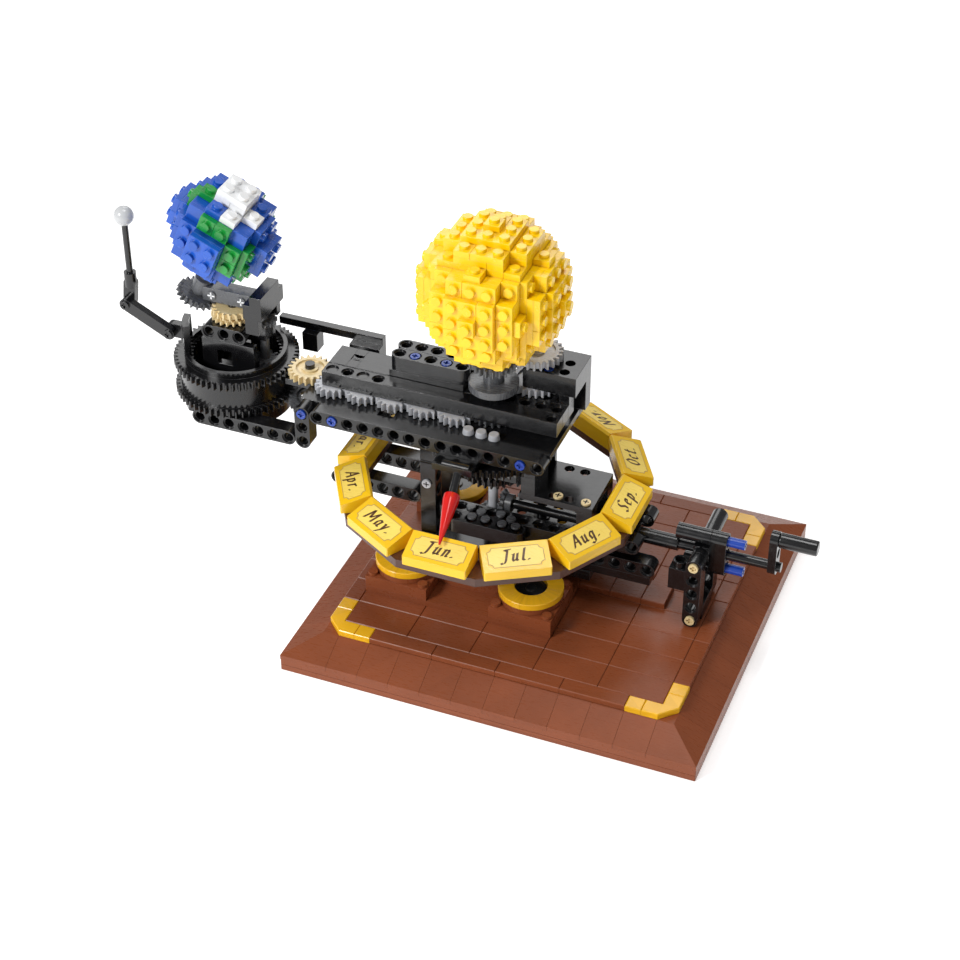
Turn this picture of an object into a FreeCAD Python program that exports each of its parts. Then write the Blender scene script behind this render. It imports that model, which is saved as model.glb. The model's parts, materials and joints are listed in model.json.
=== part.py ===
import FreeCAD, Part
import math
import os

# Brick-built orrery: a Sun, a tilted Earth and a Moon carried by one long arm over a
# ring of twelve month tiles, all turned by a hand crank. Millimetres, +Z up.
# Origin: centre of the underside of the base. +X is right, +Y is back.

Vec = FreeCAD.Vector
X_AXIS, Y_AXIS, Z_AXIS = Vec(1, 0, 0), Vec(0, 1, 0), Vec(0, 0, 1)

# ---------------------------------------------------------------- driving dimensions
STUD = 8.0                 # grid pitch, and gear module 1 gives 16 teeth per 2 pitches
PLATE = 3.2                # height of one plate
GAP = 0.1                  # seam left between neighbouring bricks
STUD_R, STUD_H = 2.4, 1.7
ROD_R = 2.4                # axles and pins
BORE_R = 2.45              # holes that a rod turns in
BEAM_W = 7.8               # section of a beam

BASE_X, BASE_Y = 26 * STUD, 24 * STUD
EDGE = 3 * STUD            # width of the sloping border bricks
Z_PLATE = 2 * PLATE        # underside of the sloping border
Z_LIP = 8.8                # outer lip of the slope
Z_FLAT = 5 * PLATE         # flat top of the slope
Z_TOP = 6 * PLATE          # top of the tiled deck

MAIN = (-4 * STUD, 0.0)    # axis of the Sun and of the long arm
EARTH = (-21 * STUD, 0.0)  # axis of the Earth unit
CRANK_Z = 55.2             # height of the crank shaft
TILT = math.radians(23.4)  # tilt of the Earth's axle towards the Sun

# heights of the gear levels
Z_LAY_1 = 42.0             # first reduction
Z_LAY_2 = 62.0             # second reduction
Z_LAY_3 = 72.0             # third reduction
Z_SEASON = 89.4            # gears that keep the Earth's axle pointing one way
Z_BEAM = 101.0             # hole line of the arm's side beams
Z_MOON = 105.0             # gears that drive the Moon
Z_DECK = 109.2             # underside of the arm's upper deck
Z_DECK_TOP = Z_DECK + BEAM_W
Z_SUN_DRIVE = 117.5        # gears that drive the Sun, on top of the deck
Z_SUN_GEAR = 133.0         # upper pair of the Sun's train
Z_STAGE = 125.0            # hole line of the Earth stage's beams
Z_EARTH_GEAR = 129.4       # gears that spin the Earth
GEAR_W = 3.8               # face width of the flat gears

SUN_Z, SUN_R = 175.0, 36.0
EARTH_APEX_Z = 180.7       # where the tilted axle crosses the Earth unit's axis
EARTH_BALL_DROP = 4.03     # from that crossing down the axle to the ball's centre
EARTH_R = 25.6
MOON_R = 4.9

RING_IN, RING_OUT = 60.0, 76.0   # inner and outer apothem of the month ring
MONTHS = 12

PARTS = {}


# ---------------------------------------------------------------- basic shapes
def box(x0, x1, y0, y1, z0, z1):
    return Part.makeBox(x1 - x0, y1 - y0, z1 - z0, Vec(x0, y0, z0))


def rod(x, y, z, radius, length, axis=Z_AXIS):
    return Part.makeCylinder(radius, length, Vec(x, y, z), axis)


def tube(x, y, z, outer, inner, height, axis=Z_AXIS):
    return rod(x, y, z, outer, height, axis).cut(rod(x, y, z, inner, height, axis))


def fuse(shapes):
    shapes = list(shapes)
    if len(shapes) == 1:
        return shapes[0]
    return shapes[0].multiFuse(shapes[1:]).removeSplitter()


def prism(points, height, z=0.0):
    corners = [Vec(x, y, z) for x, y in points]
    outline = Part.makePolygon(corners + corners[:1])
    return Part.Face(outline).extrude(Vec(0, 0, height))


def add(name, *shapes):
    """Store a node. Several shapes stay separate solids of one node."""
    solids = [solid for shape in shapes for solid in shape.Solids]
    PARTS[name] = solids[0] if len(solids) == 1 else Part.makeCompound(solids)


def beam(first, count, run, bore, width=BEAM_W, depth=BEAM_W, lip=True):
    """A round-ended beam of pin holes: first hole at `first`, one hole per STUD along run."""
    run, bore = Vec(*run), Vec(*bore)
    side = bore.cross(run)
    length = (count - 1) * STUD
    half = width / 2
    low, high = Vec(0, -half, -depth / 2), Vec(length, -half, -depth / 2)
    plan = [
        Part.LineSegment(low, high),
        Part.Arc(high, Vec(length + half, 0, -depth / 2), Vec(length, half, -depth / 2)),
        Part.LineSegment(Vec(length, half, -depth / 2), Vec(0, half, -depth / 2)),
        Part.Arc(Vec(0, half, -depth / 2), Vec(-half, 0, -depth / 2), low),
    ]
    outline = Part.Wire([piece.toShape() for piece in plan])
    body = Part.Face(outline).extrude(Vec(0, 0, depth))
    cuts = []
    for k in range(count):
        cuts.append(rod(k * STUD, 0, -depth / 2, BORE_R, depth))
        if lip and depth > 6:
            cuts.append(rod(k * STUD, 0, -depth / 2, 3.1, 0.8))
            cuts.append(rod(k * STUD, 0, depth / 2 - 0.8, 3.1, 0.8))
    body = body.cut(Part.makeCompound(cuts))
    place = FreeCAD.Matrix(run.x, side.x, bore.x, first[0], run.y, side.y, bore.y, first[1],
                           run.z, side.z, bore.z, first[2], 0, 0, 0, 1)
    return moved(body, place)


def moved(shape, matrix):
    copy = shape.copy()
    copy.Placement = FreeCAD.Placement(matrix)
    return copy


# ---------------------------------------------------------------- gears (module 1)
PRESSURE = math.radians(20)
ADDENDUM, DEDENDUM, BACKLASH = 0.9, 1.2, 0.25


def tooth_half_angle(teeth, radius, backlash):
    pitch_r = teeth / 2
    base_r = pitch_r * math.cos(PRESSURE)
    at_base = math.pi / (2 * teeth) - backlash / teeth + math.tan(PRESSURE) - PRESSURE
    if radius <= base_r:
        return at_base
    roll = math.acos(base_r / radius)
    return max(at_base - math.tan(roll) + roll, 0.1 / radius)


def gear_outline(teeth, phase, x=0.0, y=0.0, addendum=ADDENDUM, dedendum=DEDENDUM, backlash=BACKLASH):
    pitch_r = teeth / 2
    base_r = pitch_r * math.cos(PRESSURE)
    root_r, tip_r = pitch_r - dedendum, pitch_r + addendum
    radii = [root_r, max(base_r, root_r + 0.3), pitch_r, pitch_r + addendum / 2, tip_r]
    halves = [tooth_half_angle(teeth, radius, backlash) for radius in radii]
    rising = list(zip(radii, [-half for half in halves]))
    falling = list(zip(reversed(radii), reversed(halves)))
    points = []
    for k in range(teeth):
        centre = phase + 2 * math.pi * k / teeth
        for radius, offset in rising + falling:
            points.append((x + radius * math.cos(centre + offset), y + radius * math.sin(centre + offset)))
    return points


def gear(teeth, centre, z, phase, bore=BORE_R, width=GEAR_W, addendum=ADDENDUM, holes=0):
    """A flat spur gear with a raised rim and, on big wheels, a ring of through holes."""
    x, y = centre
    body = prism(gear_outline(teeth, phase, x, y, addendum), width, z)
    cuts = [rod(x, y, z, bore, width)] if bore else []
    rim = teeth / 2 - 3.0
    hub = max(bore, ROD_R) + 1.6
    if rim - hub > 1.5:
        cuts.append(tube(x, y, z + width - 0.9, rim, hub, 0.9))
        cuts.append(tube(x, y, z, rim, hub, 0.9))
    for k in range(holes):
        turn = 2 * math.pi * k / holes
        middle = (rim + hub) / 2
        cuts.append(rod(x + middle * math.cos(turn), y + middle * math.sin(turn), z, BORE_R, width))
    return body.cut(Part.makeCompound(cuts)) if cuts else body


def mesh_phase(teeth_a, phase_a, centre_a, teeth_b, centre_b):
    """Phase of gear b so that its gap faces the tooth of gear a on the line of centres."""
    line = math.atan2(centre_b[1] - centre_a[1], centre_b[0] - centre_a[0])
    turned = (phase_a - line) * teeth_a / (2 * math.pi)
    return line + math.pi - (2 * math.pi / teeth_b) * (turned + 0.5)


def bevel_teeth(apex, axis, zero, teeth, cone, outer, width, phase):
    """Straight bevel teeth on a cone about `axis` from `apex`; `zero` marks angle 0."""
    axis = Vec(axis).normalize()
    zero = Vec(zero).normalize()
    side = axis.cross(zero)
    tip = cone + math.atan(ADDENDUM / outer)
    root = cone - math.atan(DEDENDUM / outer)
    inner = (outer - width) / outer
    half_pitch = tooth_half_angle(teeth, teeth / 2, BACKLASH)
    half_tip = half_pitch * 0.55
    half_root = half_pitch * 1.45

    def point(reach, slope, turn):
        flat = zero * math.cos(turn) + side * math.sin(turn)
        return apex + (axis * math.cos(slope) + flat * math.sin(slope)) * reach

    solids = []
    sink = root - math.atan(0.5 / outer)
    for k in range(teeth):
        turn = phase + 2 * math.pi * k / teeth
        ends = []
        for reach in (outer, outer * inner):
            ends.append([point(reach, sink, turn - half_root), point(reach, tip, turn - half_tip),
                         point(reach, tip, turn + half_tip), point(reach, sink, turn + half_root)])
        big, small = ends
        faces = [Part.Face(Part.makePolygon(big + big[:1])), Part.Face(Part.makePolygon(small + small[:1]))]
        for i in range(4):
            j = (i + 1) % 4
            ring = [big[i], big[j], small[j], small[i], big[i]]
            faces.append(Part.Face(Part.makePolygon(ring)))
        solids.append(Part.Solid(Part.Shell(faces)))
    root_r = outer * math.sin(root)
    length = outer * math.cos(root)
    small_r = root_r * inner
    blank = Part.makeCone(small_r, root_r, length * (1 - inner), apex + axis * length * inner, axis)
    return fuse([blank] + solids)


# ---------------------------------------------------------------- brick-built balls
def ball_cells(radius, core, reach):
    """Square plate cells that build a stepped ball, as (axis, sign, low, u, v).

    Caps on +-Z cover everything beyond the core cube, then +-X covers what is left
    beyond it, then +-Y. `reach` is how far a cell's far corner may stand from the centre."""
    layers = int(round((radius - core) / PLATE))
    span = int(radius // STUD) + 1
    shift = 0.0 if (2 * core / STUD) % 2 == 1 else STUD / 2
    centres = [shift + STUD * k for k in range(-span - 1, span + 1)]
    cells = []
    for axis in "zxy":
        for layer in range(layers):
            low = round(core + PLATE * layer, 3)
            for u in centres:
                for v in centres:
                    far = math.hypot(abs(u) + STUD / 2, abs(v) + STUD / 2)
                    too_far = math.hypot(far, low + PLATE) > reach
                    v_hidden = axis != "z" and abs(v) + STUD / 2 > core + 0.01
                    u_hidden = axis == "y" and abs(u) + STUD / 2 > core + 0.01
                    if not (too_far or v_hidden or u_hidden):
                        cells += [(axis, sign, low, u, v) for sign in (-1, 1)]
    return cells


def cap_frame(axis, sign, centre):
    """Placement whose local z points out of one cap, and whose x and y are its (u, v)."""
    outward = {"z": Vec(0, 0, sign), "x": Vec(sign, 0, 0), "y": Vec(0, sign, 0)}[axis]
    second = Z_AXIS if axis != "z" else Y_AXIS
    first = second.cross(outward)
    return FreeCAD.Matrix(first.x, second.x, outward.x, centre.x, first.y, second.y, outward.y, centre.y,
                          first.z, second.z, outward.z, centre.z, 0, 0, 0, 1)


def ball_solids(cells, covering, centre, seam=0.0):
    """Rows of cells as boxes, a `seam` short all round, and a stud on every cell that none of
    `covering` sits on."""
    taken = set(cells)
    shapes = []
    for axis, sign, low, u, v in sorted(cells):
        place = cap_frame(axis, sign, centre)
        if (axis, sign, low, u - STUD, v) not in taken:
            end = u
            while (axis, sign, low, end + STUD, v) in taken:
                end += STUD
            half = STUD / 2 - seam
            shapes.append(moved(box(u - half, end + half, v - half, v + half, low, low + PLATE), place))
        if (axis, sign, round(low + PLATE, 3), u, v) not in covering:
            shapes.append(moved(rod(u, v, low + PLATE - 0.2, STUD_R, STUD_H + 0.2), place))
    return shapes


def ball(radius, core, reach, centre):
    cells = ball_cells(radius, core, reach)
    middle = box(centre.x - core, centre.x + core, centre.y - core, centre.y + core,
                 centre.z - core, centre.z + core)
    return fuse([middle] + ball_solids(cells, set(cells), centre))


# ---------------------------------------------------------------- base and pedestal
def slope_profile():
    """(distance in from the edge, height) of one sloping border brick."""
    return [(0, Z_PLATE), (0, Z_LIP), (2 * STUD, Z_FLAT), (EDGE, Z_FLAT), (EDGE, Z_PLATE)]


def slope_run(corner, along, inward, width):
    """A border brick `width` long, starting at `corner` of the outer edge."""
    corners = [corner + inward * d + Z_AXIS * z for d, z in slope_profile()]
    outline = Part.makePolygon(corners + corners[:1])
    return Part.Face(outline).extrude(along * width)


def build_base():
    half_x, half_y = BASE_X / 2, BASE_Y / 2
    slab = box(-half_x, half_x, -half_y, half_y, 0, Z_PLATE)
    slab = slab.makeChamfer(0.4, [edge for edge in slab.Edges if edge.BoundBox.ZLength > 1])
    seam = box(-half_x - 1, half_x + 1, -half_y - 1, half_y + 1, PLATE - 0.1, PLATE + 0.1)
    inside = box(-half_x + 0.3, half_x - 0.3, -half_y + 0.3, half_y - 0.3, 0, Z_PLATE)
    add("base_plates", slab.cut(seam.cut(inside)))

    slopes = []
    width = 2 * STUD
    for sign in (-1, 1):
        for k in range(int((BASE_X - 2 * EDGE) / width)):
            start = -half_x + EDGE + k * width + GAP / 2
            slopes.append(slope_run(Vec(start, sign * half_y, 0), X_AXIS, Y_AXIS * -sign, width - GAP))
        for k in range(int((BASE_Y - 2 * EDGE) / width)):
            start = -half_y + EDGE + k * width + GAP / 2
            slopes.append(slope_run(Vec(sign * half_x, start, 0), Y_AXIS, X_AXIS * -sign, width - GAP))
    corners = []
    for sx in (-1, 1):
        for sy in (-1, 1):
            one = slope_run(Vec(sx * half_x, sy * half_y, 0), X_AXIS * -sx, Y_AXIS * -sy, EDGE - GAP / 2)
            two = slope_run(Vec(sx * half_x, sy * half_y, 0), Y_AXIS * -sy, X_AXIS * -sx, EDGE - GAP / 2)
            corners.append(one.common(two))
    add("edge_slopes", *(slopes + corners))
    core_x, core_y = half_x - EDGE, half_y - EDGE
    add("core_plates", box(-core_x, core_x, -core_y, core_y, Z_PLATE, Z_FLAT))


def tile(x0, x1, y0, y1):
    """A flat tile with a bevelled top and a shadow groove round its foot."""
    g = GAP / 2
    body = box(x0 + g, x1 - g, y0 + g, y1 - g, Z_FLAT, Z_TOP)
    top = [edge for edge in body.Edges if edge.BoundBox.ZMin > Z_TOP - 0.01]
    body = body.makeChamfer(0.35, top)
    foot = box(x0, x1, y0, y1, Z_FLAT, Z_FLAT + 0.4).cut(
        box(x0 + 0.4, x1 - 0.4, y0 + 0.4, y1 - 0.4, Z_FLAT, Z_FLAT + 0.4))
    return body.cut(foot)


def build_top_tiles():
    half_x, half_y = BASE_X / 2 - 2 * STUD, BASE_Y / 2 - 2 * STUD
    in_x, in_y = half_x - STUD, half_y - STUD
    tiles = []
    for i in range(int(2 * in_x / (4 * STUD))):
        for j in range(int(2 * in_y / (2 * STUD))):
            x0, y0 = -in_x + i * 4 * STUD, -in_y + j * 2 * STUD
            tiles.append(tile(x0, x0 + 4 * STUD, y0, y0 + 2 * STUD))
    run_x, run_y = half_x - EDGE, half_y - EDGE
    for sign in (-1, 1):
        y0 = min(sign * in_y, sign * half_y)
        for i in range(int(2 * run_x / (4 * STUD))):
            x0 = -run_x + i * 4 * STUD
            tiles.append(tile(x0, x0 + 4 * STUD, y0, y0 + STUD))
        x0 = min(sign * in_x, sign * half_x)
        for j in range(int(2 * run_y / (2 * STUD))):
            y0 = -run_y + j * 2 * STUD
            tiles.append(tile(x0, x0 + STUD, y0, y0 + 2 * STUD))
    add("top_tiles", *tiles)

    trims = []
    g = GAP / 2
    for sx in (-1, 1):
        for sy in (-1, 1):
            corner = [(STUD, g), (2 * STUD - g, g), (2 * STUD - g, STUD - g), (STUD, STUD - g)]
            elbow = [(g, STUD), (STUD, g), (2 * STUD - g, g), (2 * STUD - g, STUD - g), (STUD - g, STUD - g),
                     (STUD - g, 2 * STUD - g), (g, 2 * STUD - g)]
            end_x = [(2 * STUD + g, g), (3 * STUD - g, g), (3 * STUD - g, STUD - g), (2 * STUD + g, STUD - g)]
            end_y = [(y, x) for x, y in end_x]
            for outline in (elbow, end_x, end_y):
                points = [(sx * (half_x - x), sy * (half_y - y)) for x, y in outline]
                solid = prism(points, PLATE, Z_FLAT)
                top = [edge for edge in solid.Edges if edge.BoundBox.ZMin > Z_TOP - 0.01]
                trims.append(solid.makeChamfer(0.35, top))
    add("gold_corner_tiles", *trims)


def build_pedestal():
    cx, cy = MAIN
    half = 6 * STUD
    base = box(cx - half, cx + half, cy - half, cy + half, Z_TOP, Z_TOP + PLATE)
    z_core = Z_TOP + PLATE
    long_y = box(cx - 2 * STUD, cx + 2 * STUD, cy - 4 * STUD, cy + 4 * STUD, z_core, 4 * STUD)
    long_x = box(cx - 4 * STUD, cx + 4 * STUD, cy - 2 * STUD, cy + 2 * STUD, z_core, 4 * STUD)
    add("pedestal_core", fuse([base, long_y, long_x]))

    z_block = z_core + 2 * PLATE
    stacks, rings = [], []
    for sx in (-1, 1):
        for sy in (-1, 1):
            x, y = cx + sx * 4 * STUD, cy + sy * 4 * STUD
            reach = 2 * STUD - GAP / 2
            block = box(x - reach, x + reach, y - reach, y + reach, z_core, z_block)
            inner = box(cx - 4 * STUD - GAP / 2, cx + 4 * STUD + GAP / 2, cy - 2 * STUD - GAP / 2,
                        cy + 2 * STUD + GAP / 2, z_core, z_block)
            inner_y = box(cx - 2 * STUD - GAP / 2, cx + 2 * STUD + GAP / 2, cy - 4 * STUD - GAP / 2,
                          cy + 4 * STUD + GAP / 2, z_core, z_block)
            block = block.cut(inner).cut(inner_y)
            off = 13.0
            studs = [rod(x + a * off, y + b * off, z_block, STUD_R, STUD_H) for a in (-1, 1) for b in (-1, 1)]
            stacks.append(fuse([block] + studs))
            stacks.append(tube(x, y, z_block, 2 * STUD - 0.4, STUD_R, PLATE))
            ring = tube(x, y, z_block + PLATE, 2 * STUD - 0.1, STUD, PLATE)
            top = [edge for edge in ring.Edges if edge.BoundBox.ZMin > z_block + 2 * PLATE - 0.01]
            ring = ring.makeChamfer(0.3, [edge for edge in top if edge.BoundBox.XLength > 1])
            cross = box(x - 20, x + 20, y - GAP / 2, y + GAP / 2, z_block + PLATE, z_block + 2 * PLATE)
            cross = cross.fuse(box(x - GAP / 2, x + GAP / 2, y - 20, y + 20, z_block + PLATE, z_block + 2 * PLATE))
            rings.append(ring.cut(cross))
    add("pedestal_corner_stacks", *stacks)
    add("gold_ring_tiles", *rings)


# ---------------------------------------------------------------- tower under the arm
LAY_1_ANGLE = math.radians(20)
LAY_1 = (MAIN[0] + 24 * math.cos(LAY_1_ANGLE), MAIN[1] + 24 * math.sin(LAY_1_ANGLE))
# second lay shaft: 20 from the main axis (12 + 28 teeth) and 16 from the first (8 + 24 teeth)
LAY_2_ANGLE = LAY_1_ANGLE + math.acos((24 ** 2 + 20 ** 2 - 16 ** 2) / (2 * 24 * 20))
LAY_2 = (MAIN[0] + 20 * math.cos(LAY_2_ANGLE), MAIN[1] + 20 * math.sin(LAY_2_ANGLE))
POST_X = (MAIN[0] - 28.0, MAIN[0] + 52.0)
POST_Y = 11.5
FOOT_Z = 4 * STUD
FLOOR_TOP = FOOT_Z + 4 * 0.8
TOP_RIGHT = MAIN[0] + 27.0             # the upper plate ends inside the path of the pointer
SHELF_LOW, SHELF_TOP = 71.8, 75.0      # plate on the right posts, under the path of the pointer


def build_tower():
    left, right = POST_X
    half = BEAM_W / 2
    foot = box(left - half, right + half, -15.4, 15.4, FOOT_Z, FLOOR_TOP)
    foot = foot.cut(rod(MAIN[0], MAIN[1], FOOT_Z, BORE_R, 9)).cut(rod(LAY_1[0], LAY_1[1], FOOT_Z, BORE_R, 9))
    top = fuse([box(left - half, TOP_RIGHT, -15.4, 15.4, 85, 89), box(MAIN[0] - 16, MAIN[0] + 20, -22, 22, 85, 89)])
    holes = [rod(MAIN[0], MAIN[1], 85, 6.1, 4), rod(LAY_1[0], LAY_1[1], 85, BORE_R, 4),
             rod(LAY_2[0], LAY_2[1], 85, BORE_R, 4)]
    grid = [rod(left + STUD * i, side * POST_Y, 85, BORE_R, 4) for i in range(5) for side in (-1, 1)]
    top = top.cut(Part.makeCompound(holes + grid))
    shelf = box(TOP_RIGHT - STUD, right + half, -15.4, 15.4, SHELF_LOW, SHELF_TOP)
    shelf = shelf.cut(rod(LAY_1[0], LAY_1[1], SHELF_LOW, BORE_R, 4))
    holes = [rod(TOP_RIGHT + STUD * i, side * POST_Y, SHELF_LOW, BORE_R, 4) for i in (1, 2) for side in (-1, 1)]
    shelf = shelf.cut(Part.makeCompound(holes))
    posts = []
    for x, count, end in ((left, 6, 85), (right, 4, SHELF_LOW)):
        for side in (-1, 1):
            y0, y1 = side * POST_Y - half, side * POST_Y + half
            first = (x, side * POST_Y, FLOOR_TOP + half)
            cap = box(x - half, x + half, y0, y1, first[2] + (count - 1) * STUD + 2, end)
            sole = box(x - half, x + half, y0, y1, FLOOR_TOP, FLOOR_TOP + 2)
            posts.append(fuse([beam(first, count, (0, 0, 1), (1, 0, 0)), cap, sole]))
    for y0, y1 in ((-15.4, 3.0), (13.0, 15.4)):
        posts.append(box(TOP_RIGHT - 7.0, TOP_RIGHT, y0, y1, SHELF_TOP, 85))
    add("tower_plates", foot, top, shelf)
    add("tower_posts", *posts)

    lay_beam_end = right - half
    lay_beam = box(LAY_2[0] - 6, lay_beam_end, LAY_2[1] - half, LAY_2[1] + half, 57.8, 61.4)
    add("lay_shaft_beam", lay_beam.cut(rod(LAY_2[0], LAY_2[1], 57, BORE_R, 5)))
    block = box(right - half, right + half, -POST_Y + half, POST_Y - half, CRANK_Z - half, CRANK_Z + half)
    add("crank_shaft_bearing", block.cut(rod(right - half, 0, CRANK_Z, BORE_R, BEAM_W, X_AXIS)))

    # two liftarms laid flat in front of the main axis tie the posts together
    tie = beam((left + STUD, -POST_Y, 52.0), 9, (1, 0, 0), (0, 0, 1))
    short = beam((left + 2 * STUD, -POST_Y - BEAM_W - GAP, 52.0), 5, (1, 0, 0), (0, 0, 1))
    add("front_liftarms", tie, short)


def dodecagon(apothem):
    reach = apothem / math.cos(math.pi / MONTHS)
    return [(MAIN[0] + reach * math.cos((k + 0.5) * 2 * math.pi / MONTHS),
             MAIN[1] + reach * math.sin((k + 0.5) * 2 * math.pi / MONTHS)) for k in range(MONTHS)]


def turned(shape, centre, angle):
    copy = shape.copy()
    copy.rotate(Vec(centre[0], centre[1], 0), Z_AXIS, math.degrees(angle))
    return copy


def build_month_ring():
    z_back, z_face = 62.0, 66.5
    ring = prism(dodecagon(RING_OUT - 2), z_face - z_back, z_back).cut(
        prism(dodecagon(RING_IN + 0.4), z_face - z_back, z_back))
    add("month_ring_frame", ring)

    half = 2 * STUD - 0.15
    profile = [(RING_IN, z_face), (RING_IN, 74.9), (RING_IN + 1.2, 76), (RING_OUT, 71.2), (RING_OUT, z_face)]
    tiles = []
    for k in range(MONTHS):
        corners = [Vec(MAIN[0] + r, MAIN[1] - half, z) for r, z in profile]
        solid = Part.Face(Part.makePolygon(corners + corners[:1])).extrude(Vec(0, 2 * half, 0))
        outer = [edge for edge in solid.Edges if edge.BoundBox.XMin > MAIN[0] + RING_OUT - 0.1
                 and edge.BoundBox.ZLength > 1]
        solid = solid.makeChamfer(0.4, outer)
        tiles.append(turned(solid, MAIN, k * 2 * math.pi / MONTHS))
    add("month_tiles", *tiles)

    left, right = POST_X
    spokes = []
    half_w = BEAM_W / 2
    for side in (-1, 1):
        y = side * POST_Y
        spokes.append(beam((left - half_w - GAP - 4, y, 58.0), 6, (-1, 0, 0), (0, 1, 0)))
        spokes.append(beam((right + half_w + GAP + 4, y, 58.0), 3, (1, 0, 0), (0, 1, 0)))
    add("ring_spokes", *spokes)


def build_fixed_turntable():
    plate = gear(60, MAIN, 89.0, 0.0, bore=6.1, width=Z_SEASON + GEAR_W - 89.0, holes=8)
    add("fixed_turntable", plate)


# ---------------------------------------------------------------- crank and its bracket
BRACKET_X = 75.0


def build_crank_bracket():
    half = BEAM_W / 2
    beams = [beam((BRACKET_X, side * 12, Z_TOP + 0.05 + half), 5, (0, 0, 1), (0, 1, 0)) for side in (-1, 1)]
    yoke = fuse([rod(BRACKET_X, -8.05, CRANK_Z, half, 16.1, Y_AXIS),
                 box(BRACKET_X - half, BRACKET_X + half, -3.9, 3.9, CRANK_Z - half, CRANK_Z + half)])
    yoke = yoke.cut(rod(BRACKET_X - half, 0, CRANK_Z, BORE_R, BEAM_W, X_AXIS))
    rear = tube(BRACKET_X, 16.0, CRANK_Z, half, BORE_R, 12.5, Y_AXIS)
    foot = box(BRACKET_X - half, BRACKET_X + half, -8.05, 8.05, Z_TOP, Z_TOP + STUD)
    step = fuse([box(62.0, BRACKET_X - half - GAP, -12.0, -4.1, 37.0, 49.0), tube(66.5, -8.0, 48.9, 3.4, BORE_R, 3.6)])
    add("crank_bracket", *(beams + [yoke, rear, foot, step]))
    plate = beam((BRACKET_X + STUD, 0, CRANK_Z - STUD), 3, (0, 0, 1), (1, 0, 0))
    add("crank_end_plate", plate)
    upper = tube(62, 0, CRANK_Z + STUD, 3.8, BORE_R, BRACKET_X + half - 62, X_AXIS)
    lower = tube(66, 0, CRANK_Z - STUD, 3.8, BORE_R, BRACKET_X + half - 66, X_AXIS)
    add("bracket_tubes", upper, lower)
    side_beam = beam((POST_X[1] + half + GAP + 4, -POST_Y, 48.0 - 1.6), 4, (1, 0, 0), (0, 1, 0))
    block = box(POST_X[1] + half + GAP, 54.0, -15.4, -7.6, 38.0, 48.0 - 1.6 - half - GAP)
    add("crank_side_beam", side_beam, block)
    plank = []
    x0, x1 = MAIN[0] + 6 * STUD, 60.0
    steps = int((x1 - x0) / (2 * STUD))
    for k in range(steps + 1):
        end = min(x0 + (k + 1) * 2 * STUD, x1)
        start = x0 + k * 2 * STUD
        if end - start > 4:
            body = box(start + GAP / 2, end - GAP / 2, -STUD, STUD, Z_TOP, Z_TOP + PLATE)
            top = [edge for edge in body.Edges if edge.BoundBox.ZMin > Z_TOP + PLATE - 0.01]
            plank.append(body.makeChamfer(0.35, top))
    add("crank_plank_tiles", *plank)


def cross_pin(x, y, z, length, axis, radius=ROD_R):
    """A friction pin: a rod with a cross-shaped recess in its far end."""
    body = rod(x, y, z, radius, length, axis)
    end = Vec(x, y, z) + axis * length
    side = Z_AXIS if abs(axis.z) < 0.5 else X_AXIS
    other = axis.cross(side)
    cuts = []
    for flat in (side, other):
        wide = axis.cross(flat)
        corner = end - flat * 0.5 - wide * 1.5 - axis * 1.0
        cuts.append(Part.makeBox(1.0, 3.0, 1.2, Vec(0, 0, 0)))
        place = FreeCAD.Matrix(flat.x, wide.x, axis.x, corner.x, flat.y, wide.y, axis.y, corner.y,
                               flat.z, wide.z, axis.z, corner.z, 0, 0, 0, 1)
        cuts[-1] = moved(cuts[-1], place)
    return body.cut(Part.makeCompound(cuts))


def build_base_pins():
    half = BEAM_W / 2
    pins = []
    for dz in (-STUD, STUD):
        start = BRACKET_X + half + 0.5
        pins.append(cross_pin(start, 0, CRANK_Z + dz, 16.0, X_AXIS))
    add("blue_bracket_pins", *pins)
    tans = []
    for z in (Z_TOP + 0.05 + half, Z_TOP + 0.05 + half + 4 * STUD):
        tans.append(cross_pin(BRACKET_X, -8.3, z, 8.2, Y_AXIS.negative()))
    add("tan_bracket_pins", *tans)


BEVEL_TEETH = 12
BEVEL_CONE = math.radians(45)
BEVEL_REACH = BEVEL_TEETH / 2 / math.sin(BEVEL_CONE)


def build_crank():
    start = MAIN[0] + 3.8
    web_x = 109.2
    shaft = rod(start, 0, CRANK_Z, ROD_R, web_x + 4.0 - start, X_AXIS)
    add("crank_shaft", shaft)
    apex = Vec(MAIN[0], 0, CRANK_Z)
    phase = math.pi / BEVEL_TEETH
    bevel = bevel_teeth(apex, X_AXIS, Z_AXIS, BEVEL_TEETH, BEVEL_CONE, BEVEL_REACH, 2.6, phase)
    hub = rod(MAIN[0] + 6.5, 0, CRANK_Z, 4.4, 3.9, X_AXIS)
    bevel = bevel.fuse(hub).removeSplitter()
    add("crank_bevel_gear", bevel.cut(rod(start - 2, 0, CRANK_Z, ROD_R, 40, X_AXIS)))
    web = beam((web_x, 0, CRANK_Z), 3, (0, 0, 1), (1, 0, 0), depth=BEAM_W / 2)
    web = web.cut(rod(web_x - 4, 0, CRANK_Z, ROD_R, 8, X_AXIS))
    add("crank_web", web)
    handle_z = CRANK_Z + 2 * STUD
    x0 = web_x + BEAM_W / 4
    grip = rod(x0 + 0.05, 0, handle_z, 3.7, 18.5, X_AXIS)
    round_edges = [edge for edge in grip.Edges if edge.BoundBox.XLength < 0.01]
    grip = grip.makeFillet(0.8, round_edges)
    grip = grip.fuse(rod(x0 - 3.9, 0, handle_z, ROD_R, 4.5, X_AXIS))
    add("crank_handle", grip)
    sleeve = tube(44.0, 0, CRANK_Z, 3.7, ROD_R, 19.0, X_AXIS)
    bush = tube(39.8, 0, CRANK_Z, 5.4, ROD_R, 4.0, X_AXIS)
    add("crank_bushes", sleeve, bush)


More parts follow.
